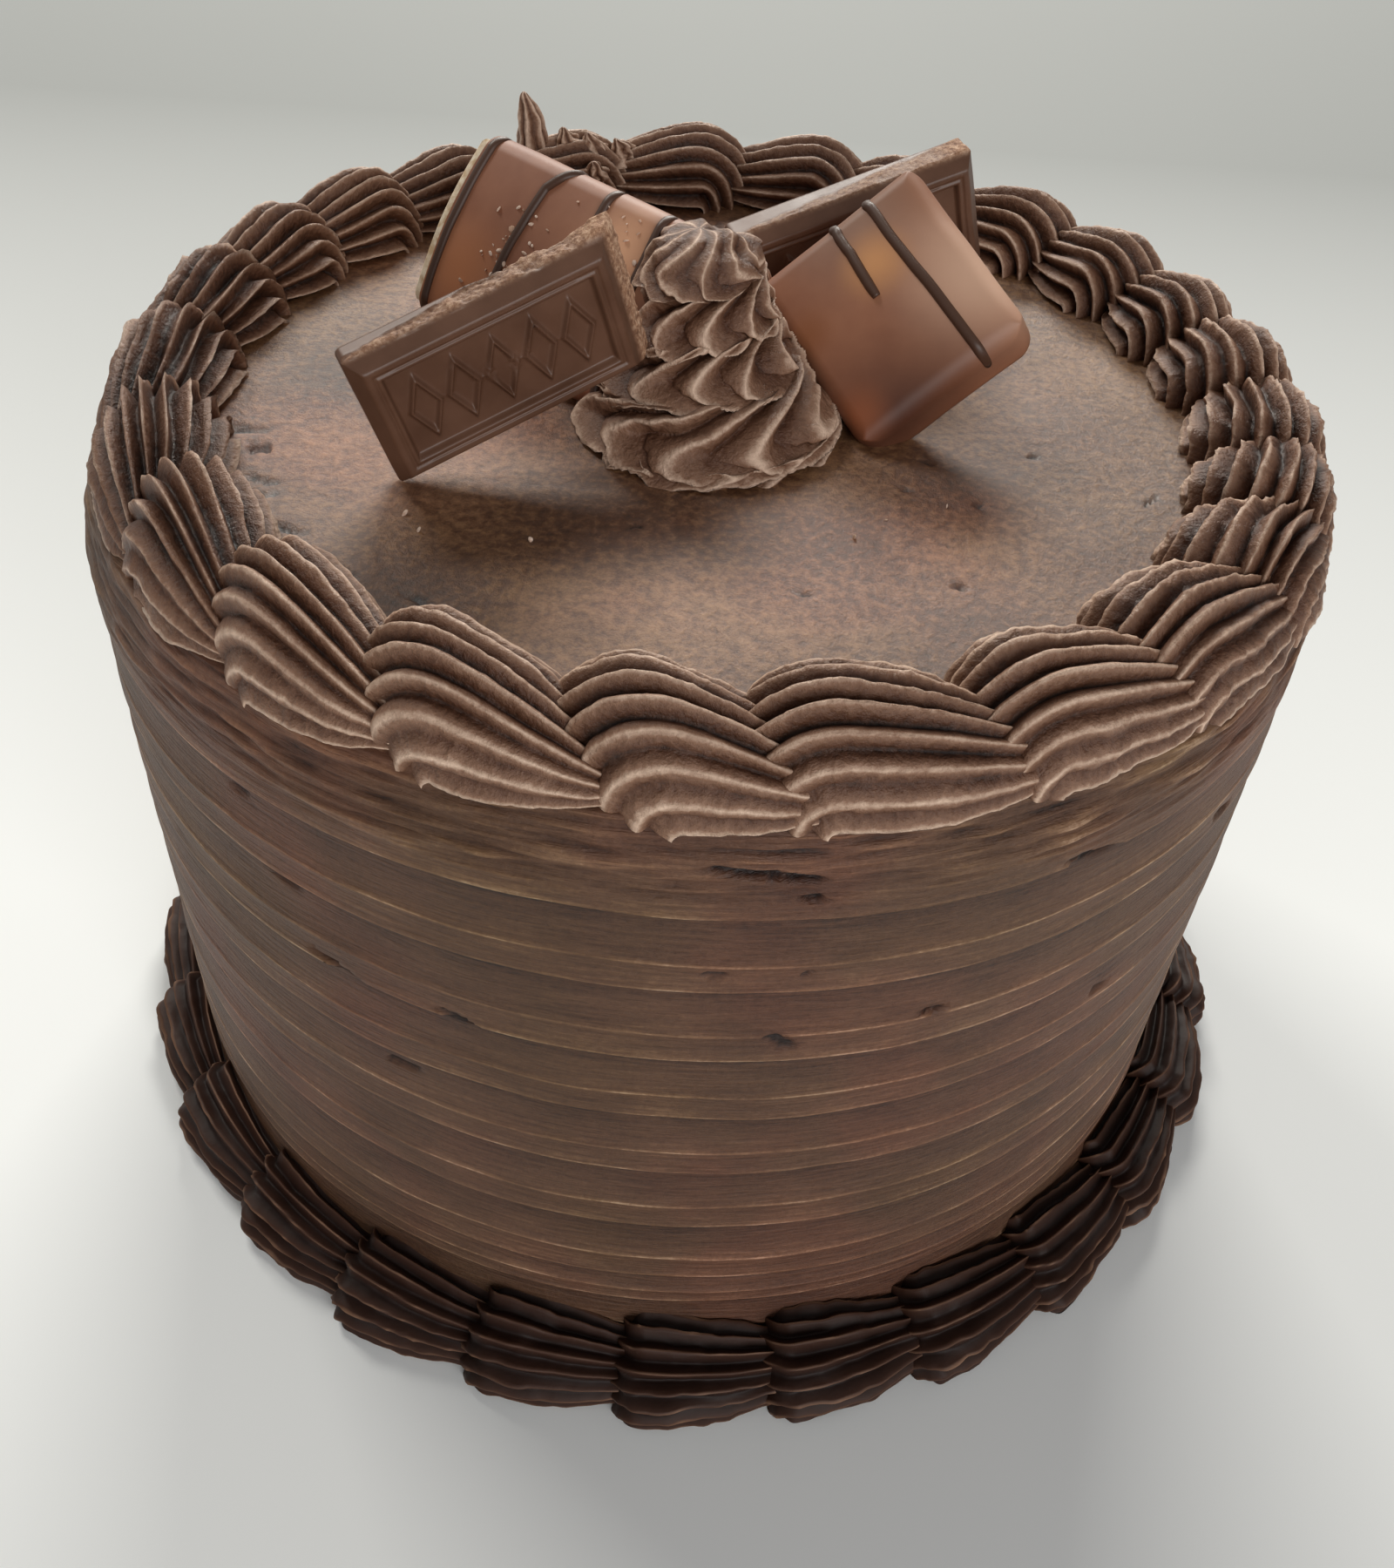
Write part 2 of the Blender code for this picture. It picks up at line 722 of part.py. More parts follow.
def filling_block(name, grow, reach_out, collection):
    """The cream and wafer inside the left bar, from its cut end almost to its far end."""
    length = COATED_LEFT_SIZE[0] / 2
    width = COATED_LEFT_SIZE[1] / 2 - COATING_WALL - CLEARANCE + grow
    low = -COATED_LEFT_SIZE[2] + COATING_WALL + CLEARANCE - grow
    high = FILLING_TOP + grow
    bevel_in, bevel_down = FILLING_BEVEL
    loops = [
        [
            (x, -width, low),
            (x, width, low),
            (x, width, high - bevel_down),
            (x, width - bevel_in, high),
            (x, -width + bevel_in, high),
            (x, -width, high - bevel_down),
        ]
        for x in (-length - reach_out, length - COATED_CORNER - FILLING_END + grow)
    ]
    made = closed_tube(name, loops, collection)
    made.data.transform(LEFT_COATED_PLACE)
    return made


filling = filling_block("coated_bar_left_filling", 0.0, FILLING_OVERHANG, CAKE)
boolean_with(filling, "DIFFERENCE", cake_room)
finish(filling, material_named("cream_filling", CREAM_FILLING, 0.7), 30.0)
filling_room = filling_block("filling_room", CLEARANCE, 0.003, CUTTERS)
boolean_with(coated_left, "DIFFERENCE", filling_room)
finish(coated_left, coating, 30.0)


# Rosette: a spiral of fluted icing that rises to a point and leans towards the back
def along_profile(profile, share):
    """The value at a share, on straight lines between the profile's points."""
    for (first, start), (last, end) in zip(profile, profile[1:]):
        if share <= last:
            return start + (end - start) * (share - first) / (last - first)
    return profile[-1][1]


def rosette_loops():
    base = Vector((*ROSETTE_CENTRE, 0.0))
    apex = Vector(ROSETTE_APEX)
    loops = []
    for i in range(ROSETTE_UP):
        rise = i / (ROSETTE_UP - 1)
        centre = base.lerp(Vector((apex.x, apex.y, 0.0)), rise)
        height = apex.z * rise
        body = along_profile(ROSETTE_PROFILE, rise) - ROSETTE_INSET
        height -= ROSETTE_ROOT if i == 0 else 0.0
        loop = []
        for k in range(ROSETTE_AROUND):
            around = 2 * math.pi * k / ROSETTE_AROUND
            spiral = 2 * math.pi * (ROSETTE_TIERS * rise - k / ROSETTE_AROUND)
            tier = math.cos(spiral - ROSETTE_TIER_TURN)
            flute = math.cos(ROSETTE_FLUTES * around + ROSETTE_TWIST * 2 * math.pi * rise)
            fade = min(1.0, ROSETTE_FADE * (1.0 - rise))
            radius = body + fade * (ROSETTE_TIER_DEPTH * tier + ROSETTE_FLUTE_DEPTH * flute)
            radius = max(radius, ROSETTE_POINT)
            loop.append(
                (
                    centre.x + radius * math.cos(around),
                    centre.y + radius * math.sin(around),
                    CAKE_HEIGHT + height,
                )
            )
        loops.append(loop)
    return loops


parts = collection_named("rosette_parts", CUTTERS)
pieces = [
    closed_tube("rosette_spiral", rosette_loops(), parts),
    pulled_peak(
        "rosette_peak", ROSETTE_PEAK_BASE, ROSETTE_PEAK_TIP, ROSETTE_PEAK_RADIUS, parts
    ),
]
rosette = fuse("rosette", pieces, parts)
boolean_with(rosette, "DIFFERENCE", cake_room)

# The chocolates' places are cut out of the rosette, so that nothing shares its space
rooms = collection_named("chocolate_rooms", CUTTERS)
for size, flare, place in (
    (FRONT_BAR_SIZE, FRONT_BAR_FLARE, FRONT_BAR_PLACE),
    (BACK_BAR_SIZE, (0.0, 0.0), BACK_BAR_PLACE),
):
    half_x = size[0] / 2 + BAR_ROOM
    half_y = size[1] / 2 + BAR_ROOM
    heights = (-size[2] - BAR_ROOM, BAR_ROOM)
    loops = [rectangle(half_x, half_y, z, flare) for z in heights]
    lay([closed_tube("bar_room", loops, rooms)], place)
for size, place in ((COATED_LEFT_SIZE, LEFT_COATED_PLACE), (COATED_RIGHT_SIZE, RIGHT_COATED_PLACE)):
    half_x = size[0] / 2 + COATED_ROOM
    half_y = size[1] / 2 + COATED_ROOM
    top = COATED_CROWN + COATED_ROOM
    room = closed_tube(
        "coated_room",
        [
            rectangle(half_x, half_y, -size[2] - BAR_ROOM),
            rectangle(half_x, half_y, 0.0),
            rectangle(half_x - COATED_ROOM_SLOPE, half_y - COATED_ROOM_SLOPE, top),
        ],
        rooms,
    )
    lay([room], place)
boolean_with(rosette, "DIFFERENCE", rooms)
finish(rosette, icing)
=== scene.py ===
import bmesh
import bpy
import numpy as np
from mathutils import Matrix


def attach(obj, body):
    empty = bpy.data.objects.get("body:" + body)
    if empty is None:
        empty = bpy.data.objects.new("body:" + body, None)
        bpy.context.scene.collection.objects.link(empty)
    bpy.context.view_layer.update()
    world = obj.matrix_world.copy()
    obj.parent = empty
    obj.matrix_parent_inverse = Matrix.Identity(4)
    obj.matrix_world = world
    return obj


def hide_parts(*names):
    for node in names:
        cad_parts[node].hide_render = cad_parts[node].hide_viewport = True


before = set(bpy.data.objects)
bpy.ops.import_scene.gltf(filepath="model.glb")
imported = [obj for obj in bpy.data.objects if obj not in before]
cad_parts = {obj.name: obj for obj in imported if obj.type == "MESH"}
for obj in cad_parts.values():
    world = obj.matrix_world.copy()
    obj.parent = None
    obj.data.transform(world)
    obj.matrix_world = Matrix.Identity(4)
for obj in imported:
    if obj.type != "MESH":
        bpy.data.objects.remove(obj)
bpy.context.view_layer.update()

# The camera is held close in front of the cake and looks steeply down on it, a little rolled. The
# stage is a plain pale table of laminate, with broad lights behind and above the cake that rake
# over the top and leave the front in soft shade.
PHOTO_HEIGHT = 1800
FOCAL_PIXELS = 1712.0
CAMERA_PLACE = (0.0, -0.1813, 0.2052)
YAW, PITCH, ROLL = np.radians([0.53, 43.05, 4.06])
TABLE_REACH = 4.0
# How far behind the cake's middle the table's painted shade has darkened it fully
TABLE_SHADE = 0.4
# Cocoa butter, sugar and laminate all lie near this
PLAIN_IOR = 1.46


def camera_axes(yaw, pitch, roll):
    """Right, up and back of a camera as columns: turned by yaw, tipped down by pitch, rolled."""
    ahead = np.array([np.sin(yaw) * np.cos(pitch), np.cos(yaw) * np.cos(pitch), -np.sin(pitch)])
    level = np.array([np.cos(yaw), -np.sin(yaw), 0.0])
    above = np.cross(level, ahead)
    right = np.cos(roll) * level + np.sin(roll) * above
    up = -np.sin(roll) * level + np.cos(roll) * above
    return np.column_stack([right, up, -ahead])


def linear(hex_colour):
    """An sRGB hex colour as linear red, green, blue and full alpha."""
    srgb = np.array([int(hex_colour[i : i + 2], 16) for i in (1, 3, 5)]) / 255.0
    light = np.where(srgb <= 0.04045, srgb / 12.92, ((srgb + 0.055) / 1.055) ** 2.4)
    return (*light.tolist(), 1.0)


def connect(material, made, inputs):
    """Gives each input of a node its value, or links it to its socket."""
    for key, value in inputs.items():
        if isinstance(value, bpy.types.NodeSocket):
            material.node_tree.links.new(value, made.inputs[key])
        else:
            made.inputs[key].default_value = value


def new_material(name, roughness):
    """An empty node material and its Principled shader."""
    made = bpy.data.materials.new(name)
    made.use_nodes = True
    shader = made.node_tree.nodes["Principled BSDF"]
    connect(made, shader, {"Roughness": roughness, "IOR": PLAIN_IOR})
    return made, shader


def node(material, kind, inputs=None, out=0, stops=(), **settings):
    """Adds a shader node and returns one of its outputs. Each input is a value or a socket to
    link, stops are the (position, hex colour) pairs of a ramp, and settings its properties."""
    made = material.node_tree.nodes.new("ShaderNode" + kind)
    for key, value in settings.items():
        setattr(made, key, value)
    connect(material, made, inputs or {})
    elements = made.color_ramp.elements if stops else ()
    while len(elements) < len(stops):
        elements.new(0.5)
    for element, (position, colour) in zip(elements, stops):
        element.position = position
        element.color = linear(colour)
    return made.outputs[out]


lens = bpy.data.cameras.new("camera")
lens.lens = FOCAL_PIXELS / PHOTO_HEIGHT * lens.sensor_width
lens.clip_start = 0.01
camera = bpy.data.objects.new("camera", lens)
bpy.context.scene.collection.objects.link(camera)
turn = Matrix(camera_axes(YAW, PITCH, ROLL).tolist()).to_4x4()
camera.matrix_world = Matrix.Translation(CAMERA_PLACE) @ turn
bpy.context.scene.camera = camera

table_mesh = bpy.data.meshes.new("table")
corners = np.array([(-1, -1, 0), (1, -1, 0), (1, 1, 0), (-1, 1, 0)]) * TABLE_REACH
table_mesh.from_pydata(corners.tolist(), [], [(0, 1, 2, 3)])
table = bpy.data.objects.new("table", table_mesh)
bpy.context.scene.collection.objects.link(table)
# The laminate is painted darker from the cake's middle towards the back: painted shade for the
# part shade that falls there
laminate, laminate_shader = new_material("white_laminate", 0.6)
place = node(laminate, "TexCoord", out="Object")
depth = node(laminate, "SeparateXYZ", {"Vector": place}, out="Y")
distance = node(
    laminate, "MapRange", {"Value": depth, "From Min": 0.0, "From Max": TABLE_SHADE}
)
shade = node(laminate, "ValToRGB", {"Fac": distance}, stops=((0.0, "#f0f3f3"), (1.0, "#a0a3a2")))
connect(laminate, laminate_shader, {"Base Color": shade, "Specular IOR Level": 0.05})
table_mesh.materials.append(laminate)

world = bpy.data.worlds.new("studio")
world.use_nodes = True
room = {"Color": linear("#f2efec"), "Strength": 0.27}
connect(world, world.node_tree.nodes["Background"], room)
bpy.context.scene.world = world
bpy.context.scene.view_settings.view_transform = "Standard"


def soft_light(name, place, aim, size, watts, colour):
    """A rectangular area light that faces a point."""
    data = bpy.data.lights.new(name, "AREA")
    data.shape = "RECTANGLE"
    data.size, data.size_y = size
    data.energy = watts
    data.color = linear(colour)[:3]
    made = bpy.data.objects.new(name, data)
    bpy.context.scene.collection.objects.link(made)
    back = np.subtract(place, aim)
    back = back / np.linalg.norm(back)
    side = np.cross((0.0, 0.0, 1.0), back)
    side = side / np.linalg.norm(side)
    facing = Matrix(np.column_stack([side, np.cross(back, side), back]).tolist()).to_4x4()
    made.matrix_world = Matrix.Translation(place) @ facing
    return made


CAKE_TOP = (0.0, 0.0, 0.106)
soft_light("ceiling_light_left", (-1.55, 1.75, 2.35), CAKE_TOP, (1.00, 0.70), 42.0, "#fffbf3")
soft_light("ceiling_light_back", (0.06, 2.70, 1.75), CAKE_TOP, (1.50, 0.60), 82.0, "#fffbf3")
soft_light("window_light", (1.3, -3.0, 1.2), CAKE_TOP, (2.4, 1.6), 68.0, "#ffffff")


# The cake is a tall round of layers under a thick coat of chocolate buttercream. The side was
# dragged with a toothed comb, which left narrow raised bands with sharp lips between wide scooped
# ones. Above the last band the knife smeared and tore the rim. Sizes are in metres.
CAKE_RADIUS = 0.0815
CAKE_HEIGHT = 0.106
# Above the comb's reach the rim is torn, more and more over TORN_OVER, and draws in by RIM_TAPER
COMB_TOP = 0.0940
TORN_OVER = 0.0035
RIM_TOP = CAKE_HEIGHT - 0.0012
RIM_TAPER = 0.0026
RIM_ROWS = 56
# The deepest scoop, how far the lips stand inside the radius, and how far a lump may pass it
SCOOP_DEPTH = 0.0010
LIP_SETBACK = 0.0001
LARGEST_BULGE = 0.0004
# The bands' waves fade out over this height at the foot and at the rim
WAVE_FADE = 0.01
# The first ring above the table is at least this high
LOWEST_RING = 0.0008
# Heights of the bands' lower lips, and shares of a band's height at which its rings lie
LOWER_LIPS = np.array(
    [-0.0060, 0.0045, 0.0155, 0.0220, 0.0345, 0.0470, 0.0585, 0.0695, 0.0815, 0.0930]
)
COMB_SHARES = np.array(
    [0.0, 0.012, 0.03, 0.06, 0.10, 0.16, 0.23, 0.31, 0.39, 0.47, 0.54, 0.59, 0.625, 0.645, 0.66]
    + [0.68, 0.71, 0.76, 0.82, 0.88, 0.93, 0.965, 0.985]
)
# Depth inside the cake's radius, as a part of SCOOP_DEPTH, and tone, at shares of the way down
# from one lower lip to the next: a lip, a drop, a wide scoop, an upper lip, a shallow band
SCOOP = ((0, 0.0), (0.03, 0.75), (0.07, 1.0), (0.25, 0.86), (0.50, 0.55), (0.62, 0.22))
BAND = ((0.652, 0.0), (0.69, 0.16), (0.80, 0.26), (0.93, 0.16), (1.0, 0.0))
COMB_DEPTHS = np.array(SCOOP + BAND)
# Tones at the same shares paint light and shade on the comb's bands: a painted highlight on each
# lip and painted shade in the scoop below it, darkest just under the lip
COMB_PAINTED_SHADING = np.array(
    [(0, 1.0), (0.012, 0.35), (0.030, 0.0), (0.10, 0.22), (0.30, 0.40), (0.62, 0.55)]
    + [(0.645, 1.0), (0.665, 0.50), (0.80, 0.48), (0.965, 0.60), (1.0, 1.0)]
)
# Layers of lumps: height, size, seed and stretches along x, y and z. The first lift the bands,
# the next tear the side in streaks along the drag, the last are shallow dents.
BAND_WAVES = (
    (0.0006, 0.045, 3, 1.0, 1.0, 0.0),
    (0.00022, 0.012, 4),
    (0.00006, 0.0032, 14, 1.0, 1.0, 1.5),
)
SIDE_STREAKS = ((0.6, 0.0020, 5, 0.20, 0.20, 2.6), (0.4, 0.0020, 7, 0.50, 0.50, 4.94))
SIDE_DENTS = ((1.0, 0.006, 6, 0.5, 0.5, 1.6),)
# Depth of the streaks and of the dents on the bands, and what the torn rim adds to each
STREAK_DEPTH, TORN_STREAK_DEPTH = 0.00009, 0.00060
DENT_DEPTH, TORN_DENT_DEPTH = 0.00010, 0.0003
# Angle in degrees, height, half width, half height and depth of the pits and snags that the comb
# dragged open
SIDE_SNAGS = (
    (-84.0, 0.0990, 0.0060, 0.0007, 0.0013),
    (-80.5, 0.0958, 0.0012, 0.0006, 0.0014),
    (-87.0, 0.0844, 0.0013, 0.0005, 0.0008),
    (-80.0, 0.0842, 0.0005, 0.0004, 0.0010),
    (-81.9, 0.0736, 0.0011, 0.0006, 0.0009),
    (-81.0, 0.0722, 0.0016, 0.0005, 0.0007),
    (-69.0, 0.0742, 0.0014, 0.0005, 0.0013),
    (-107.5, 0.0700, 0.0022, 0.0005, 0.0010),
    (-124.0, 0.0800, 0.0030, 0.0006, 0.0011),
    (-119.0, 0.0700, 0.0034, 0.0005, 0.0011),
    (-113.0, 0.0560, 0.0030, 0.0005, 0.0010),
    (-127.0, 0.0900, 0.0022, 0.0005, 0.0009),
    (-57.0, 0.0930, 0.0040, 0.0007, 0.0010),
    (-50.0, 0.0640, 0.0016, 0.0005, 0.0009),
    (-37.0, 0.0830, 0.0024, 0.0006, 0.0010),
    (-140.0, 0.0450, 0.0020, 0.0006, 0.0009),
    (20.0, 0.0610, 0.0026, 0.0006, 0.0010),
    (95.0, 0.0720, 0.0030, 0.0007, 0.0011),
    (160.0, 0.0380, 0.0020, 0.0006, 0.0010),
)
SNAG_LEAN = 0.15
# Large primes that scatter the cubes of a lump pattern over a table of random values
CUBE_PRIMES = np.array([73856093, 19349663, 83492791])
CUBE_VALUES = 8192


def lumps(points, size, seed):
    """Smooth random heights from -1 to 1: random values at the corners of cubes of that size,
    blended across each cube by 3t^2 - 2t^3."""
    cells = np.asarray(points) / size
    base = np.floor(cells).astype(np.int64)
    t = cells - base
    t = t * t * (3.0 - 2.0 * t)
    table = np.random.default_rng(seed).uniform(-1.0, 1.0, CUBE_VALUES)
    total = np.zeros(cells.shape[:-1])
    for corner in np.ndindex(2, 2, 2):
        key = np.bitwise_xor.reduce((base + corner) * CUBE_PRIMES, axis=-1)
        value = table[key & (CUBE_VALUES - 1)]
        total += value * np.where(np.array(corner) == 1, t, 1.0 - t).prod(axis=-1)
    return total


def waves(points, layers, seed=0):
    """The sum of lumps over layers of (height, size, seed), each with any stretches."""
    total = 0.0
    for high, size, own_seed, *stretch in layers:
        total = total + high * lumps(points * np.array(stretch or [1.0]), size, seed + own_seed)
    return total


def new_piece(name, mesh):
    """The object of a finished mesh. Its faces are turned outwards where its volume, summed
    from the faces as they stand, is negative."""
    made = bpy.data.objects.new(name, mesh)
    bpy.context.scene.collection.objects.link(made)
    shape = bmesh.new()
    shape.from_mesh(mesh)
    if shape.calc_volume(signed=True) < 0:
        mesh.flip_normals()
    shape.free()
    return made


def skin(name, grid, tone=None, measure=None):
    """A mesh over a grid of points, rows by columns, whose last column meets its first and whose
    first and last rows are closed by fans. tone is stored point by point, measure as a UV map."""
    rows, columns = grid.shape[:2]
    index = np.arange(rows * columns).reshape(rows, columns)
    index = np.column_stack([index, index[:, :1]])
    quads = np.stack([index[:-1, :-1], index[:-1, 1:], index[1:, 1:], index[1:, :-1]], axis=-1)
    count = rows * columns
    hub = np.full(columns, count)
    first = np.column_stack([index[0, 1:], index[0, :-1], hub])
    last = np.column_stack([index[-1, :-1], index[-1, 1:], hub + 1])
    points = np.concatenate([grid.reshape(-1, 3), grid[[0, -1]].mean(axis=1)])
    corners = np.concatenate([quads.ravel(), first.ravel(), last.ravel()])
    sizes = np.concatenate([np.full(quads.size // 4, 4), np.full(2 * columns, 3)])
    mesh = bpy.data.meshes.new(name)
    mesh.vertices.add(len(points))
    mesh.vertices.foreach_set("co", points.astype(np.float32).ravel())
    mesh.loops.add(len(corners))
    mesh.loops.foreach_set("vertex_index", corners.astype(np.int32))
    mesh.polygons.add(len(sizes))
    starts = np.concatenate([[0], np.cumsum(sizes)[:-1]])
    mesh.polygons.foreach_set("loop_start", starts.astype(np.int32))
    if measure is not None:
        flat = np.concatenate([measure.reshape(-1, 2), measure[0, :1], measure[-1, :1]])
        layer = mesh.uv_layers.new(name="measure")
        layer.data.foreach_set("uv", flat[corners].astype(np.float32).ravel())
    if tone is not None:
        flat = np.concatenate([tone.ravel(), [tone[0].mean(), tone[-1].mean()]])
        layer = mesh.attributes.new("tone", "FLOAT", "POINT")
        layer.data.foreach_set("value", flat.astype(np.float32))
    mesh.update(calc_edges=True)
    mesh.shade_smooth()
    return new_piece(name, mesh)


def combed_side(columns):
    """The side as rings: each comb pitch repeats the same depths from lip to lip, its rings drawn
    at the same shares and moved up and down together by slow waves. Above the last lip the
    rings are even, torn by lumps that are long round the cake and low across it, and draw in
    by the square of the height."""
    lower, upper = LOWER_LIPS[:-1, None], LOWER_LIPS[1:, None]
    level = (upper - (upper - lower) * COMB_SHARES[::-1]).ravel()
    share = np.tile(COMB_SHARES[::-1], len(LOWER_LIPS) - 1)
    rim = np.linspace(LOWER_LIPS[-1], RIM_TOP, RIM_ROWS)[1:]
    off_table = level > LOWEST_RING
    level = np.concatenate([[0.0], level[off_table], rim])
    share = np.concatenate([[0.2], share[off_table], np.linspace(0.985, 0.60, len(rim))])
    angle = np.linspace(0, 2 * np.pi, columns, endpoint=False)
    angle, level = np.meshgrid(angle, level)
    share = share[:, None] + 0 * angle
    ring = np.stack([np.cos(angle), np.sin(angle), 0 * angle], axis=-1) * CAKE_RADIUS
    here = ring + level[..., None] * [0, 0, 1.0]
    fade = np.clip(level / WAVE_FADE, 0, 1) * np.clip((CAKE_HEIGHT - level) / WAVE_FADE, 0, 1)
    z = level + fade * waves(here, BAND_WAVES)
    torn = np.clip((level - COMB_TOP) / TORN_OVER, 0, 1)
    depth = np.interp(share, COMB_DEPTHS[:, 0], COMB_DEPTHS[:, 1]) * SCOOP_DEPTH
    # Painted highlight on the lips and painted shade in the scoops, from the tones above
    tone = np.interp(share, COMB_PAINTED_SHADING[:, 0], COMB_PAINTED_SHADING[:, 1])
    wear = 0.75 + 0.35 * lumps(here, 0.02, 8)
    radius = CAKE_RADIUS - LIP_SETBACK - depth * wear * (1 - torn)
    drawn_in = np.clip((level - COMB_TOP) / (RIM_TOP - COMB_TOP), 0, 1) ** 2
    streaks = waves(here, SIDE_STREAKS)
    radius = radius - RIM_TAPER * drawn_in + streaks * (STREAK_DEPTH + TORN_STREAK_DEPTH * torn)
    radius = radius + waves(here, SIDE_DENTS) * (DENT_DEPTH + TORN_DENT_DEPTH * torn)
    tone = tone * (0.85 + 0.25 * lumps(here * [1, 1, 3], 0.009, 9))
    # On the torn rim the tone follows the streaks: painted light where they push the icing out,
    # painted shade where they sink it
    tone = tone * (1 - torn) + torn * (0.44 + 0.60 * streaks)
    for turned, height, wide, high, deep in SIDE_SNAGS:
        across = (np.mod(angle - np.radians(turned) + np.pi, 2 * np.pi) - np.pi) * CAKE_RADIUS
        reach = (across / wide) ** 2 + ((z - height + across * SNAG_LEAN) / high) ** 2
        reach = reach * (1 + 0.5 * lumps(here, 0.0009, 10))
        pit = np.exp(-(reach**3))
        radius = radius - deep * pit
        # Painted shade in each pit
        tone = tone * (1 - pit) - 0.25 * pit
    radius = np.minimum(radius, CAKE_RADIUS + LARGEST_BULGE)
    grid = np.stack([radius * np.cos(angle), radius * np.sin(angle), z], axis=-1)
    return grid, np.clip(tone, -0.5, 1), np.stack([angle * CAKE_RADIUS, level], axis=-1)


side_grid, side_tone, side_measure = combed_side(columns=620)
iced_side = skin("iced_side", side_grid, tone=side_tone, measure=side_measure)


def toned(material, patterns, low, high, stops):
    """The colour at a point: its tone plus each pattern times its weight, measured between low
    and high and looked up in a ramp."""
    value = node(material, "Attribute", out="Fac", attribute_name="tone")
    for pattern, weight in patterns:
        inputs = {0: pattern, 1: weight, 2: value}
        value = node(material, "Math", inputs, operation="MULTIPLY_ADD")
    share = node(material, "MapRange", {"Value": value, "From Min": low, "From Max": high})
    return node(material, "ValToRGB", {"Fac": share}, stops=stops)


def mottled(material, colour, place, scale, stops):
    """A colour multiplied by a slow pattern that turns it from olive to pinkish."""
    patches = node(material, "TexNoise", {"Vector": place, "Scale": scale, "Detail": 4.0})
    tint = node(material, "ValToRGB", {"Fac": patches}, stops=stops)
    inputs = {0: 1.0, 6: colour, 7: tint}
    return node(material, "Mix", inputs, out=2, data_type="RGBA", blend_type="MULTIPLY")


# Chocolate buttercream, dragged by a comb: fat and sugar set to a soft sheen, mottled from pinkish
# to olive brown where air and cocoa are uneven, streaked along the drag, with painted shade in its
# scoops and a painted highlight on its lips.
# The streaks are about 8 mm long and 0.5 mm wide, the grain 0.8 mm, the patches 30 mm.
COMBED_SHADES = (
    (0.0, "#1e0e07"), (0.24, "#4b3122"), (0.55, "#674a37"), (0.80, "#87684f"), (1.0, "#c0a58e")
)
COMBED_MOTTLE = ((0.36, "#e6dfc8"), (0.50, "#f1e7dc"), (0.62, "#fde3da"))
buttercream, combed_shader = new_material("chocolate_buttercream_combed", 0.55)
place = node(buttercream, "TexCoord", out="Object")
around_cake = node(buttercream, "TexCoord", out="UV")
drag = node(buttercream, "Mapping", {"Vector": around_cake, "Scale": (130.0, 1900.0, 1.0)})
inputs = {"Vector": drag, "Scale": 1.0, "Detail": 5.0, "Roughness": 0.65}
streaks = node(buttercream, "TexNoise", inputs)
inputs = {"Vector": place, "Scale": 1300.0, "Detail": 2.0, "Roughness": 0.7}
grain = node(buttercream, "TexNoise", inputs)
shade = toned(buttercream, ((streaks, 0.95), (grain, 0.40)), 0.58, 1.73, COMBED_SHADES)
shade = mottled(buttercream, shade, place, 34.0, COMBED_MOTTLE)
relief = node(buttercream, "Bump", {"Height": streaks, "Strength": 0.8, "Distance": 0.0006})
inputs = {"Height": grain, "Strength": 0.35, "Distance": 0.0003, "Normal": relief}
pores = node(buttercream, "Bump", inputs)
connect(buttercream, combed_shader, {"Base Color": shade, "Normal": pores})
iced_side.data.materials.append(buttercream)
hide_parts("cake_body")
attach(iced_side, "root")


# The top is the same buttercream, spread level with a palette knife, so it is pebbly, with slow
# rolls and a few small tears near the border. It closes the side.
TOP_ROLLS = ((0.00030, 0.022, 11), (0.00012, 0.0060, 12), (0.00006, 0.0024, 13, 1.0, 1.5, 1.0))
# From EDGE_START inside the radius the top turns down, by EDGE_DROP over EDGE_REACH
EDGE_START = 0.0030
EDGE_REACH = 0.0022
EDGE_DROP = 0.0026
# Radius of the first ring, gap between the top's rim and the radius, and depth of the low row
TOP_HUB = 0.0008
TOP_GAP = 0.0004
TOP_DEPTH = 0.0045
# For each tear: x, y, half length, half width, angle in radians and depth
TOP_TEARS = (
    (-0.0590, -0.0150, 0.0035, 0.0007, 0.3, 0.0009),
    (-0.0560, -0.0190, 0.0014, 0.0010, 0.9, 0.0012),
    (-0.0540, -0.0260, 0.0030, 0.0006, 0.0, 0.0008),
    (-0.0530, -0.0290, 0.0024, 0.0005, 0.2, 0.0007),
    (-0.0490, -0.0360, 0.0034, 0.0006, -0.2, 0.0008),
    (-0.0405, -0.0440, 0.0030, 0.0006, -0.4, 0.0007),
    (-0.0300, -0.0490, 0.0030, 0.0005, -0.4, 0.0007),
    (0.0340, -0.0215, 0.0008, 0.0004, -0.9, 0.0007),
    (0.0300, -0.0390, 0.0008, 0.0006, 0.0, 0.0008),
    (0.0560, -0.0180, 0.0016, 0.0003, 0.9, 0.0006),
    (0.0120, 0.0490, 0.0030, 0.0006, 0.1, 0.0008),
    (0.0250, -0.0190, 0.0006, 0.0003, 0.4, 0.0006),
    (0.0280, -0.0120, 0.0012, 0.0003, -0.3, 0.0006),
    (0.0420, -0.0090, 0.0010, 0.0003, 0.2, 0.0006),
    (-0.0080, -0.0310, 0.0010, 0.0003, 0.6, 0.0005),
    (0.0120, -0.0420, 0.0014, 0.0003, 0.1, 0.0005),
)


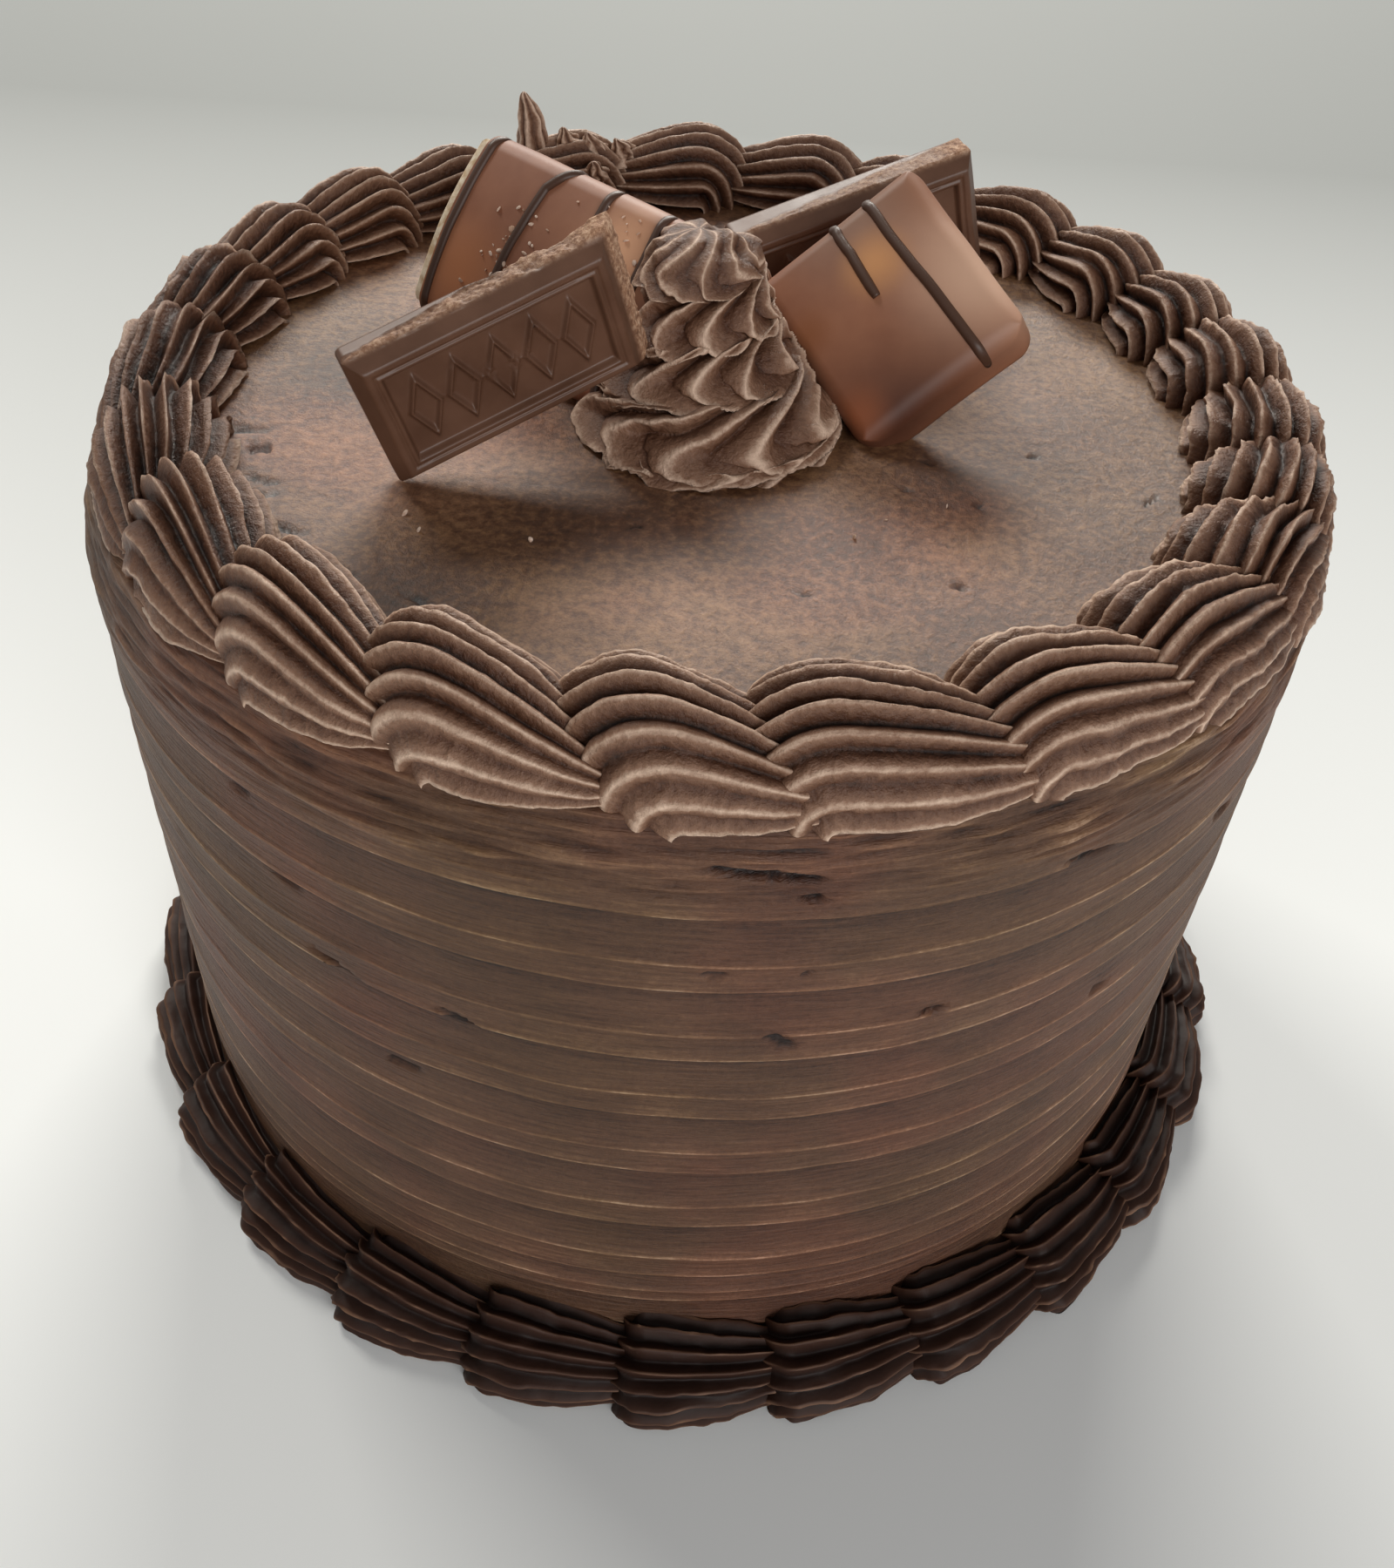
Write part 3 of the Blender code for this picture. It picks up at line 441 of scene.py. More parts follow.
def spread_top(rows, columns):
    """A disc whose height rolls in slow waves under finer pebbled ones, with narrow tears cut
    where listed, turned down at its rim and closed by a low flat row."""
    share = np.linspace(0, 1, rows) ** 0.75
    radius = TOP_HUB + share * (CAKE_RADIUS - RIM_TAPER - TOP_GAP - TOP_HUB)
    angle = np.linspace(0, 2 * np.pi, columns, endpoint=False)
    angle, radius = np.meshgrid(angle, radius)
    flat = np.stack([radius * np.cos(angle), radius * np.sin(angle), radius * 0], axis=-1)
    height = waves(flat, TOP_ROLLS)
    tone = 0.55 + 0.2 * lumps(flat, 0.016, 15)
    for x, y, half_long, half_wide, turned, deep in TOP_TEARS:
        dx, dy = flat[..., 0] - x, flat[..., 1] - y
        along = (dx * np.cos(turned) + dy * np.sin(turned)) / half_long
        across = (dy * np.cos(turned) - dx * np.sin(turned)) / half_wide
        pit = np.exp(-((along**2 + (across + 0.5 * np.sin(3 * along)) ** 2) ** 2))
        height -= deep * pit
        # Painted shade in each tear
        tone = tone * (1 - 0.9 * pit)
    edge = radius + RIM_TAPER - (CAKE_RADIUS - EDGE_START)
    height -= EDGE_DROP * np.clip(edge / EDGE_REACH, 0, 1) ** 2
    top = flat + np.stack([radius * 0, radius * 0, CAKE_HEIGHT + height], axis=-1)
    low_row = flat[-1:] * 0.995 + np.array([0, 0, CAKE_HEIGHT - TOP_DEPTH])
    return np.concatenate([top, low_row]), np.concatenate([tone, tone[-1:]])


top_grid, top_tone = spread_top(rows=140, columns=420)
iced_top = skin("iced_top", top_grid, tone=top_tone)

# The same buttercream, spread: pebbled at half a millimetre to two, with a greyish sheen where a
# lamp strikes it low, over a warm brown that shows in shade. The pebbles are about 1.2 mm.
SPREAD_SHADES = ((0.14, "#1e0c04"), (0.5, "#67432b"), (0.86, "#a8815f"))
SPREAD_MOTTLE = ((0.40, "#e9e2cd"), (0.52, "#f2e8de"), (0.64, "#fce2d9"))
spread_cream, spread_shader = new_material("chocolate_buttercream_spread", 0.46)
place = node(spread_cream, "TexCoord", out="Object")
inputs = {"Vector": place, "Scale": 800.0, "Detail": 6.0, "Roughness": 0.75}
pebbles = node(spread_cream, "TexNoise", inputs)
shade = toned(spread_cream, ((pebbles, 1.6),), 0.70, 1.90, SPREAD_SHADES)
shade = mottled(spread_cream, shade, place, 30.0, SPREAD_MOTTLE)
relief = node(spread_cream, "Bump", {"Height": pebbles, "Strength": 0.7, "Distance": 0.0005})
inputs = {"Base Color": shade, "Normal": relief, "Specular IOR Level": 0.95}
connect(spread_cream, spread_shader, inputs)
iced_top.data.materials.append(spread_cream)
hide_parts("cake_body")
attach(iced_top, "root")


# Round the top edge runs a border of buttercream shells, piped in turn with a large star tip whose
# teeth leave ten uneven ridges. Each starts low on the outer side, swells up and over in a curl
# round an eye, and is drawn down and outwards to a tail that the next shell covers.
# Radius of the ring that the shells' middles lie on, and how far that ring is off the axis
SHELL_RING = 0.0722
SHELL_SHIFT = np.array([0.0012, 0.0, 0.0])
SHELL_HALF_WIDTH = 0.0094
SHELL_HEIGHT = 0.0108
SHELL_RIDGES = 10
# How far a tail reaches under the next shell, and how far out it drifts
SHELL_OVERLAP = 0.0022
TAIL_DRIFT = 0.0044
# The creases are this deep, and deeper by the second where the ridges stand sharp
CREASE_DEPTH, SHARP_CREASE = 0.0023, 0.0011
# The outer side is a little narrower, the inner one wider round one angle in degrees, and the
# outer edge sinks
OUTER_WIDTH = 0.86
INNER_WIDENING = 0.30
INNER_WIDEST = 5.0
OUTER_DROP = 0.0036
# Steps of the mesh: across each ridge and the underside, along the fan and along the tail
RIDGE_STEPS, UNDER_STEPS = 10, 8
FAN_STEPS, TAIL_STEPS = 46, 40
# The thickness of a shell's underside, as a share of its height
UNDERSIDE = 0.10
# What hangs below the cake's top is flattened to this share of its depth
UNDERHANG = 0.15
# Size and height of the lumps that roughen a shell, and what broken icing adds to the height
SHELL_LUMPS = ((0.0052, 0.00026, 0.00034), (0.0014, 0.00011, 0.00022), (0.0006, 0.00008, 0.00009))
# For each shell: angle of its head in degrees, size, how far its outer end lies ahead in
# millimetres, how sharp its ridges stand, and how rough the icing broke
TOP_SHELLS = (
    (128, 0.97, 0.0, 0.3, 0.2),
    (142, 1.00, 1.0, 0.3, 0.2),
    (155.5, 1.00, 1.5, 0.4, 0.2),
    (168, 0.98, 2.0, 0.7, 0.3),
    (182, 1.00, 3.0, 0.9, 0.4),
    (198, 1.04, 4.0, 0.9, 0.4),
    (214, 1.04, 5.0, 0.5, 0.3),
    (230, 1.02, 6.0, 0.2, 0.3),
    (247, 1.02, 5.0, 0.2, 0.3),
    (263.5, 1.03, 7.0, 0.2, 0.3),
    (279.5, 1.03, 0.5, 0.2, 0.4),
    (298, 1.00, 0.0, 0.2, 0.5),
    (314.5, 1.00, 0.0, 0.3, 0.9),
    (330.5, 0.98, 0.0, 0.4, 1.0),
    (343.5, 0.95, -1.0, 0.4, 1.0),
    (355.5, 0.95, -1.0, 0.4, 0.9),
    (369, 0.96, 0.0, 0.3, 0.7),
    (381.5, 0.94, 0.0, 0.3, 0.4),
    (394.5, 0.94, 0.0, 0.3, 0.2),
    (409, 0.97, 0.0, 0.3, 0.2),
    (424, 1.00, 0.0, 0.3, 0.2),
    (439, 1.00, 0.0, 0.3, 0.2),
    (455, 1.04, 0.0, 0.3, 0.2),
    (471, 0.95, 0.0, 0.3, 0.3),
)


def ridge_height(phase, sharpness):
    """From 0 in a valley to 1 on a crest, once in every pi of phase: a rounded rib between sharp
    creases, blended towards a sharp rib between rounded scoops."""
    rounded = np.abs(np.cos(phase)) ** 0.8
    pointed = 1 - np.abs(np.sin(phase)) ** 0.7
    return rounded * (1 - sharpness) + pointed * sharpness


def shell_surface(length, half_width, height, ridges, depth, start, squash, ends, sharpness, seed):
    """A piped shell as (forward, outward, up) points and their tones. Its section is half an
    ellipse with ridges at even angles over a shallow underside. First the section fans about an
    axis across the shell, from start degrees to upright, on a circle squashed along the shell.
    Then it slides forward, and narrows to ends times its width and height. Its outer side
    rolls into a lip with shallower ridges. Slow lumps drawn by seed make the ridges wander
    and stand higher or lower."""
    upper = np.linspace(0, np.pi, ridges * RIDGE_STEPS + 1)
    under = np.linspace(np.pi, 2 * np.pi, UNDER_STEPS)[1:-1]
    around = np.concatenate([upper, under])[None, :]
    fan = np.linspace(0, 1, FAN_STEPS)[:, None]
    tail = np.linspace(0, 1, TAIL_STEPS)[1:, None]
    swell = np.sin(np.clip(fan / 0.45, 0, 1) * np.pi / 2) ** 0.8
    core = UNDERSIDE * height
    end_width, end_height, bend = ends
    slim = tail**bend
    grown = np.concatenate([0.45 + 0.55 * swell, 1 - (1 - end_width) * slim])
    wide = half_width * grown
    raised = np.concatenate([0.35 + 0.65 * swell, 1 - (1 - end_height) * tail**1.5])
    thick = (height - core) * raised
    turned = np.radians(start + (90 - start) * fan)
    turned = np.concatenate([turned, np.full_like(tail, np.pi / 2)])
    forward = np.concatenate([np.zeros_like(fan), tail * length])
    along = np.concatenate([fan * 1.6, 1.6 + tail * 1.6]) + 0 * around
    sheet = np.stack([around + 0 * along, along, 0 * along], axis=-1)
    wander = 0.55 * lumps(sheet, 0.85, seed) * np.sin(np.clip(around, 0, np.pi))
    uneven = 1 + 0.45 * lumps(sheet * [1, 0.5, 1], 0.30, seed + 1)
    above = around <= np.pi
    crest = np.where(above, ridge_height(ridges * around + wander, sharpness), 0.5)
    narrow = np.minimum(grown, raised)
    lip = np.clip((np.cos(around) - 0.62) / 0.30, 0, 1)
    cut = np.where(above, depth * uneven * (1 - crest) * narrow**0.8 * (1 - 0.6 * lip), 0.0)
    across = (wide - cut) * np.cos(around)
    belly = np.where(above, (thick - cut) * np.sin(around), 0.5 * core * np.sin(around))
    rise = core + belly
    squashed = np.where(np.cos(turned) < 0, squash, 1.0)
    points = np.stack([forward + rise * np.cos(turned) * squashed, across, rise * np.sin(turned)])
    slide = np.concatenate([np.zeros_like(fan), tail]) + 0 * around
    # The tones are painted light and shade: a painted highlight on the crests and on the outer
    # lip, painted shade down the creases and under the shell
    tone = np.where(above, 0.55 * crest + 0.45 * crest**7 + 0.22 * lip * (1 - crest), 0.3)
    return np.moveaxis(points, 0, -1), tone, slide


def on_ring(shell, angle, ring):
    """Bends a shell on to the cake: forward becomes a turn round the ring, outward a radius."""
    radius = ring + shell[..., 1]
    turned = np.radians(angle) + shell[..., 0] / ring
    return np.stack([radius * np.cos(turned), radius * np.sin(turned), shell[..., 2]], axis=-1)


def roughened(placed, amounts, seed):
    """Moves points away from their middle by lumps of each (size, height) in amounts."""
    away = placed - placed.mean(axis=(0, 1))
    away = away / np.linalg.norm(away, axis=-1, keepdims=True)
    for number, (size, high) in enumerate(amounts):
        placed = placed + away * (high * lumps(placed, size, seed + number))[..., None]
    return placed


top_shells = []
for number, (angle, size, lead, sharpness, broken) in enumerate(TOP_SHELLS):
    last = number + 1 == len(TOP_SHELLS)
    following = TOP_SHELLS[0][0] + 360 if last else TOP_SHELLS[number + 1][0]
    shell, tone, slide = shell_surface(
        length=np.radians(following - angle) * SHELL_RING + SHELL_OVERLAP,
        half_width=SHELL_HALF_WIDTH * size,
        height=SHELL_HEIGHT * size,
        ridges=SHELL_RIDGES,
        depth=CREASE_DEPTH + SHARP_CREASE * sharpness,
        start=236,
        squash=0.92,
        ends=(0.20, 0.10, 2.4),
        sharpness=sharpness,
        seed=400 + 2 * number,
    )
    share = shell[..., 1] / SHELL_HALF_WIDTH
    ahead = 0.001 * lead * np.clip((1 + share) / 2, 0, 1.2) ** 1.5 * (1 - slide)
    inner = 1 + INNER_WIDENING * max(np.cos(np.radians(angle - INNER_WIDEST)), 0.0)
    outward = np.where(share > 0, OUTER_WIDTH, inner) * shell[..., 1] + TAIL_DRIFT * slide**2.0
    drop = OUTER_DROP * np.clip(outward / SHELL_HALF_WIDTH, 0, 1.2) ** 2.2
    up = np.where(shell[..., 2] < 0, UNDERHANG, 1.0) * shell[..., 2]
    bent = np.stack([shell[..., 0] + ahead, outward, CAKE_HEIGHT + up - drop], axis=-1)
    placed = on_ring(bent, angle, SHELL_RING) + SHELL_SHIFT
    amounts = [(wide, high + more * broken) for wide, high, more in SHELL_LUMPS]
    placed = roughened(placed, amounts, 20 + 3 * number)
    top_shells.append(skin(f"top_shell_{number + 1:02d}", placed, tone=tone))

# Piped chocolate buttercream: smooth from the metal tip and softly shining, with a painted
# highlight along the thin crests and painted shade down the creases. Its grain is about 0.9 mm,
# its patches 11.
PIPED_SHADES = ((0.0, "#1e0c05"), (0.28, "#573624"), (0.62, "#87644e"), (1.0, "#dabca5"))
piped_cream, piped_shader = new_material("chocolate_buttercream_piped", 0.50)
place = node(piped_cream, "TexCoord", out="Object")
patches = node(piped_cream, "TexNoise", {"Vector": place, "Scale": 90.0, "Detail": 5.0})
inputs = {"Vector": place, "Scale": 1100.0, "Detail": 4.0, "Roughness": 0.7}
grain = node(piped_cream, "TexNoise", inputs)
shade = toned(piped_cream, ((grain, 0.55), (patches, 0.5)), 0.50, 1.55, PIPED_SHADES)
relief = node(piped_cream, "Bump", {"Height": grain, "Strength": 0.8, "Distance": 0.0006})
connect(piped_cream, piped_shader, {"Base Color": shade, "Normal": relief})
for piece in top_shells:
    piece.data.materials.append(piped_cream)
    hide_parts("top_border")
    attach(piece, "root")


# The foot is hidden by a second border of darker, wetter icing, piped into the corner between the
# cake and what it stands on: shells that lean outwards, with thin sharp ribs along the ring.
FOOT_COUNT = 26
FOOT_FIRST = -105.5
FOOT_RING = 0.0838
FOOT_SHIFT = np.array([0.0016, 0.0, 0.0])
FOOT_LIFT = 0.0030
FOOT_SIZE = 0.0089
FOOT_RIDGES = 9
# Where round the ring the shells are largest, in degrees, and how far each reaches under the next
FOOT_LARGEST = 285.0
FOOT_OVERLAP = 1.05
FOOT_CREASE_DEPTH = 0.0018
FOOT_LUMPS = ((0.005, 0.00050), (0.0016, 0.00026))
foot_shells = []
for number in range(FOOT_COUNT):
    angle = FOOT_FIRST + 360.0 / FOOT_COUNT * number
    size = FOOT_SIZE * (0.93 + 0.07 * np.cos(np.radians(angle - FOOT_LARGEST)))
    shell, tone, slide = shell_surface(
        length=2 * np.pi / FOOT_COUNT * FOOT_RING * FOOT_OVERLAP,
        half_width=size,
        height=size,
        ridges=FOOT_RIDGES,
        depth=FOOT_CREASE_DEPTH,
        start=215,
        squash=0.60,
        ends=(0.55, 0.50, 1.5),
        sharpness=0.70,
        seed=500 + 2 * number,
    )
    across, up = shell[..., 1], shell[..., 2]
    outward = (across + up) * np.sqrt(0.5)
    lift = np.maximum((up - across) * np.sqrt(0.5) + FOOT_LIFT, 0.0)
    placed = on_ring(np.stack([shell[..., 0], outward, lift], axis=-1), angle, FOOT_RING)
    placed = roughened(placed, FOOT_LUMPS, 100 + 3 * number)
    placed = placed + FOOT_SHIFT
    placed[..., 2] = np.maximum(placed[..., 2], 0.0)
    foot_shells.append(skin(f"foot_shell_{number + 1:02d}", placed, tone=tone))

# Dark cocoa icing, piped fresh: almost black brown, with a wet gloss, a painted highlight along
# the thin crests and painted shade in the creases. Its grain is about 2 mm.
dark_icing, dark_shader = new_material("dark_cocoa_icing_piped", 0.62)
place = node(dark_icing, "TexCoord", out="Object")
grain = node(dark_icing, "TexNoise", {"Vector": place, "Scale": 500.0, "Detail": 4.0})
tone = node(dark_icing, "Attribute", out="Fac", attribute_name="tone")
stops = ((0.05, "#1c0a04"), (0.50, "#3a2013"), (1.0, "#8a6852"))
shade = node(dark_icing, "ValToRGB", {"Fac": tone}, stops=stops)
relief = node(dark_icing, "Bump", {"Height": grain, "Strength": 0.3, "Distance": 0.0004})
inputs = {"Base Color": shade, "Normal": relief, "Specular IOR Level": 0.35}
connect(dark_icing, dark_shader, inputs)
for piece in foot_shells:
    piece.data.materials.append(dark_icing)
    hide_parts("bottom_border")
    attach(piece, "root")


# In the middle of the top stands a rosette of the same buttercream, piped in a spiral of four and
# a half turns to a point. As the tip turned, its ridges folded to and fro into soft S shapes.
ROSETTE_CENTRE = np.array([0.0005, -0.0060])
ROSETTE_APEX = np.array([-0.0026, 0.0025])
# Radius of the crests in millimetres at shares of the height
ROSETTE_PROFILE = np.array(
    [(0.0, 16.8), (0.10, 17.8), (0.22, 16.4), (0.36, 13.0), (0.50, 10.6), (0.65, 9.2)]
    + [(0.80, 8.3), (0.90, 6.8), (0.96, 4.5), (1.0, 0.4)]
)
ROSETTE_RISE = 0.0228
ROSETTE_TURNS = 4.5
ROSETTE_RUFFLES = 10
# Depth of the creases at the base, how far each turn bulges, and how far its crests droop
ROSETTE_CREASE = 0.0038
TURN_BULGE = 0.0011
CREST_DROOP = 0.0018
# How far the rosette's foot is pressed into the top, and how deep its lowest crests may hang
ROSETTE_SINK = 0.0010
LOWEST_CREST = 0.0015
# Size and height of the lumps that roughen the rosette, one after the other
ROSETTE_LUMPS = ((0.0032, 0.00050), (0.0011, 0.00022))


def round_sheet(rise, angle):
    """Points on a column of radius one and height three, so that lumps close round it."""
    level = 0 * rise
    return np.stack([np.cos(angle) + level, np.sin(angle) + level, 3 * rise + 0 * angle], axis=-1)


def rosette_surface(rows, columns):
    """Radius follows the profile from base to point. A spiral phase adds a bulge to each
    turn, and the ridges round it swing to and fro once in each turn, so widely near the base
    that they run almost level there. Crests droop where the turn bulges."""
    rise = np.linspace(0, 1, rows)[:, None]
    angle = np.linspace(0, 2 * np.pi, columns, endpoint=False)[None, :]
    rough = round_sheet(rise, angle)
    uneven = lumps(rough, 0.55, 210)
    tier = 2 * np.pi * (ROSETTE_TURNS * rise - angle / (2 * np.pi)) + 0.8 * uneven
    fade = np.clip(2.6 * (1 - rise), 0, 1)
    swing = (5.8 - 3.8 * rise) * np.sin(tier + 0.4) + 1.4 * lumps(rough, 0.8, 213)
    swing = swing + 9.0 * np.clip(rise - 0.72, 0, 1)
    crest = ridge_height((ROSETTE_RUFFLES * angle + swing + 0.9 * uneven) / 2, 0.25)
    radius = np.interp(rise, ROSETTE_PROFILE[:, 0], ROSETTE_PROFILE[:, 1]) * 0.001
    deep = ROSETTE_CREASE * (1 - 0.40 * rise) * (1 + 0.35 * lumps(rough, 0.35, 212))
    deep = deep * (0.45 + 0.55 * np.clip(rise / 0.16, 0, 1))
    radius = radius + fade * (TURN_BULGE * np.cos(tier) - deep * (1 - crest))
    radius = np.maximum(radius, 0.0003)
    centre = ROSETTE_CENTRE + (ROSETTE_APEX - ROSETTE_CENTRE) * rise[..., None]
    x = centre[..., 0] + radius * np.cos(angle)
    y = centre[..., 1] + radius * np.sin(angle)
    droop = CREST_DROOP * fade * crest * np.cos(tier)
    z = CAKE_HEIGHT - ROSETTE_SINK + (ROSETTE_RISE + ROSETTE_SINK) * rise - droop
    grid = np.stack([x, y, z + 0 * angle], axis=-1)
    grid[..., 2] = np.maximum(grid[..., 2], CAKE_HEIGHT - LOWEST_CREST)
    for number, (wide, high) in enumerate(ROSETTE_LUMPS):
        grid = grid + high * lumps(grid, wide, 200 + number)[..., None]
    ragged = np.clip((rise - 0.70) / 0.15, 0, 1) * 0.0009 * lumps(grid, 0.0034, 214)
    grid = grid + ragged[..., None] * [1.0, 0.6, 0.8]
    # Painted highlight on the crests of the ruffles and painted shade in the creases, from the
    # tone
    return grid, 0.20 + 0.38 * crest + 0.48 * crest**8


rosette_grid, rosette_tone = rosette_surface(rows=206, columns=480)
rosette = skin("rosette_swirl", rosette_grid, tone=rosette_tone)
PEAK_ROWS, PEAK_COLUMNS = 64, 80


def pulled_peak(name, base, tip, radius, seed):
    """A cone whose width falls as (1 - rise)^0.6 from a foot that flares, with ridges down it,
    bent and torn by lumps that grow towards the point."""
    rise = np.linspace(0, 1, PEAK_ROWS)[:, None]
    angle = np.linspace(0, 2 * np.pi, PEAK_COLUMNS, endpoint=False)[None, :]
    base, tip = np.array(base), np.array(tip)
    width = radius * (0.85 * (1 - rise) ** 0.6 + 0.15 * np.exp(-rise / 0.08)) + 0.0002
    sheet = round_sheet(rise, angle)
    crest = ridge_height(3 * angle + 2.5 * rise + 1.2 * lumps(sheet, 0.6, seed), 0.4)
    width = width * (1 - 0.30 * (1 - crest)) * (1 + 0.22 * lumps(sheet, 0.45, seed + 1))
    bend = 0.0012 * np.sin(np.pi * rise) * [1.0, 0.4]
    centre = base + (tip - base) * rise[..., None]
    x = centre[..., 0] + bend[:, :1] + width * np.cos(angle)
    y = centre[..., 1] + bend[:, 1:] + width * np.sin(angle)
    grid = np.stack([x, y, centre[..., 2] + 0 * angle], axis=-1)
    grid = grid + 0.00035 * lumps(grid, 0.0016, seed + 2)[..., None] * np.sqrt(rise)[..., None]
    # Painted highlight on the ridges' crests and painted shade between them, from the tone
    return skin(name, grid, tone=np.clip(0.2 + 0.8 * crest, 0, 1))


# Where the bag was pulled away it tore the icing into ragged peaks: a tall one at the end of the
# border, with low torn tongues beside it, and a small one behind the rosette's point. Each has
# its foot, its point and the radius of its foot.
BORDER_PEAKS = (
    ((-0.0327, 0.0641, 0.1052), (-0.0330, 0.0655, 0.1222), 0.0050),
    ((-0.0280, 0.0668, 0.1110), (-0.0268, 0.0650, 0.1172), 0.0036),
    ((-0.0238, 0.0680, 0.1110), (-0.0228, 0.0656, 0.1166), 0.0040),
    ((-0.0190, 0.0690, 0.1110), (-0.0180, 0.0672, 0.1156), 0.0036),
    ((-0.0232, 0.0640, 0.1090), (-0.0216, 0.0606, 0.1136), 0.0036),
)
torn_peaks = [
    pulled_peak(f"torn_peak_{number + 1}", *peak, 240 + 3 * number)
    for number, peak in enumerate(BORDER_PEAKS)
]
small_peak = pulled_peak(
    "rosette_peak", (0.0035, 0.0085, 0.1052), (0.0062, 0.0120, 0.1198), 0.0040, 270
)
for piece, solid in (
    *((peak, "top_border") for peak in torn_peaks),
    (small_peak, "rosette"),
    (rosette, "rosette"),
):
    piece.data.materials.append(piped_cream)
    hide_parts(solid)
    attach(piece, "root")


# Two segments of a moulded milk chocolate bar lean on the rosette. The mould gave each a bevelled
# edge, a double-stepped rim and a sunk panel with a row of plain lozenges. The long top edges and
# the front one's right end were snapped, so they are pale and crumbly.
FRONT_BAR_SIZE = (0.0335, 0.0184, 0.0048)
BACK_BAR_SIZE = (0.0356, 0.0172, 0.0062)
# The spot of each: the middle of its face, the way along it and the way across it
FRONT_BAR = ((-0.0243, -0.0218, 0.1202), (0.0283, 0.0144, 0.0107), (-0.0048, -0.0035, 0.0173))
BACK_BAR = ((0.0205, 0.0254, 0.1166), (0.0320, 0.0104, 0.0102), (-0.0020, -0.0010, 0.0098))
# Distance in from the edge and height below the face, in millimetres, across bevel, rim and panel
MOULD_PROFILE = np.array(
    [(0, -2.4), (1.3, -0.35), (1.5, -0.08), (1.75, 0.0), (2.3, 0.0), (2.45, -0.20)]
    + [(2.65, -0.22), (2.8, -0.03), (3.0, 0.0), (3.2, -0.05), (3.35, -0.5), (3.55, -0.9)]
    + [(3.7, -0.95), (20, -0.95)]
)
# Their height above the panel is in millimetres too
LOZENGES = 5
LOZENGE_HEIGHT = 0.72
# How far the lozenges keep from the short and the long edges
LOZENGE_MARGINS = (0.0042, 0.0046)
MOULD_CORNER = 0.0008
# Height of the snapped band at the left end, and what it gains by the right end
SNAP_HEIGHT, SNAP_GAIN = 0.0026, 0.0040
# Layers of lumps in a broken face, and how far it lies inside the whole one
BREAK_GRAIN = ((0.00034, 0.0026, 0), (0.00020, 0.0009, 1), (0.00012, 0.0004, 2))
BREAK_SETBACK = 0.0002
# Depth of the whole skin above a break, how far a break swells at the right, and how far the
# broken end leans out at the back, below the first depth of it
SKIN_DEPTH = 0.0014
BREAK_SWELL = 0.0009
END_LEAN, LEAN_FROM = 0.0018, 0.0024


def laid(points, spot):
    """Moves points of a flat piece to its place: x along it, y across it, z out of its face."""
    centre, along, across = (np.array(v) for v in spot)
    x = along / np.linalg.norm(along)
    z = np.cross(x, across)
    z = z / np.linalg.norm(z)
    return centre + points @ np.stack([x, np.cross(z, x), z])


def outline(half_x, half_y, corner, columns):
    """Evenly spaced points round a rectangle whose corners are quarter circles."""
    turn = np.linspace(0, np.pi / 2, 9)
    loops = []
    for quarter, (sx, sy) in enumerate(((1, 1), (-1, 1), (-1, -1), (1, -1))):
        bend = turn + quarter * np.pi / 2
        x = sx * (half_x - corner) + corner * np.cos(bend)
        loops.append(np.column_stack([x, sy * (half_y - corner) + corner * np.sin(bend)]))
    loop = np.concatenate([*loops, loops[0][:1]])
    run = np.concatenate([[0], np.cumsum(np.linalg.norm(np.diff(loop, axis=0), axis=1))])
    even = np.linspace(0, run[-1], columns, endpoint=False)
    return np.column_stack([np.interp(even, run, loop[:, 0]), np.interp(even, run, loop[:, 1])])


def slab(edge, face_height, thickness, rows):
    """Rings that spread from the middle of a face to its edge, at face_height over each point,
    then go down the sides and back in under the piece."""
    share = np.linspace(0.01, 1, rows)[:, None] ** 0.7
    face = edge[None] * share[..., None]
    face = np.concatenate([face, face_height(face)[..., None]], axis=-1)
    down = np.linspace(0, 1, 16)[1:, None]
    low = np.full(len(edge), -thickness)
    x, y = edge.T
    fall = face[-1, :, 2] * (1 - down) + low * down
    sides = np.stack([x + 0 * down, y + 0 * down, fall], axis=-1)
    inner = np.array([0.985, 0.9, 0.5, 0.02])[:, None]
    back = np.stack([x * inner, y * inner, low - 0.0004 * (inner < 0.98)], axis=-1)
    return np.concatenate([face, sides, back])


def moulded_face(size):
    """The height of a moulded face over any point: the mould's profile by distance in from the
    nearest edge, plus lozenges, each a ridge along |x| / a + |y| / b = 1."""
    half_x, half_y = size[0] / 2, size[1] / 2

    def height(points):
        x, y = points[..., 0], points[..., 1]
        inward = np.minimum(half_x - np.abs(x), half_y - np.abs(y)) * 1000
        face = np.interp(inward, MOULD_PROFILE[:, 0], MOULD_PROFILE[:, 1])
        panel = half_x - LOZENGE_MARGINS[0]
        pitch = 2 * panel / LOZENGES
        across = np.mod(x + panel, pitch) / pitch - 0.5
        ring = np.abs(across) / 0.44 + np.abs(y) / (half_y - LOZENGE_MARGINS[1])
        ridge = np.exp(-(((ring - 0.86) / 0.13) ** 2)) * (np.abs(x) < panel)
        return (face + LOZENGE_HEIGHT * ridge) * 0.001

    return height


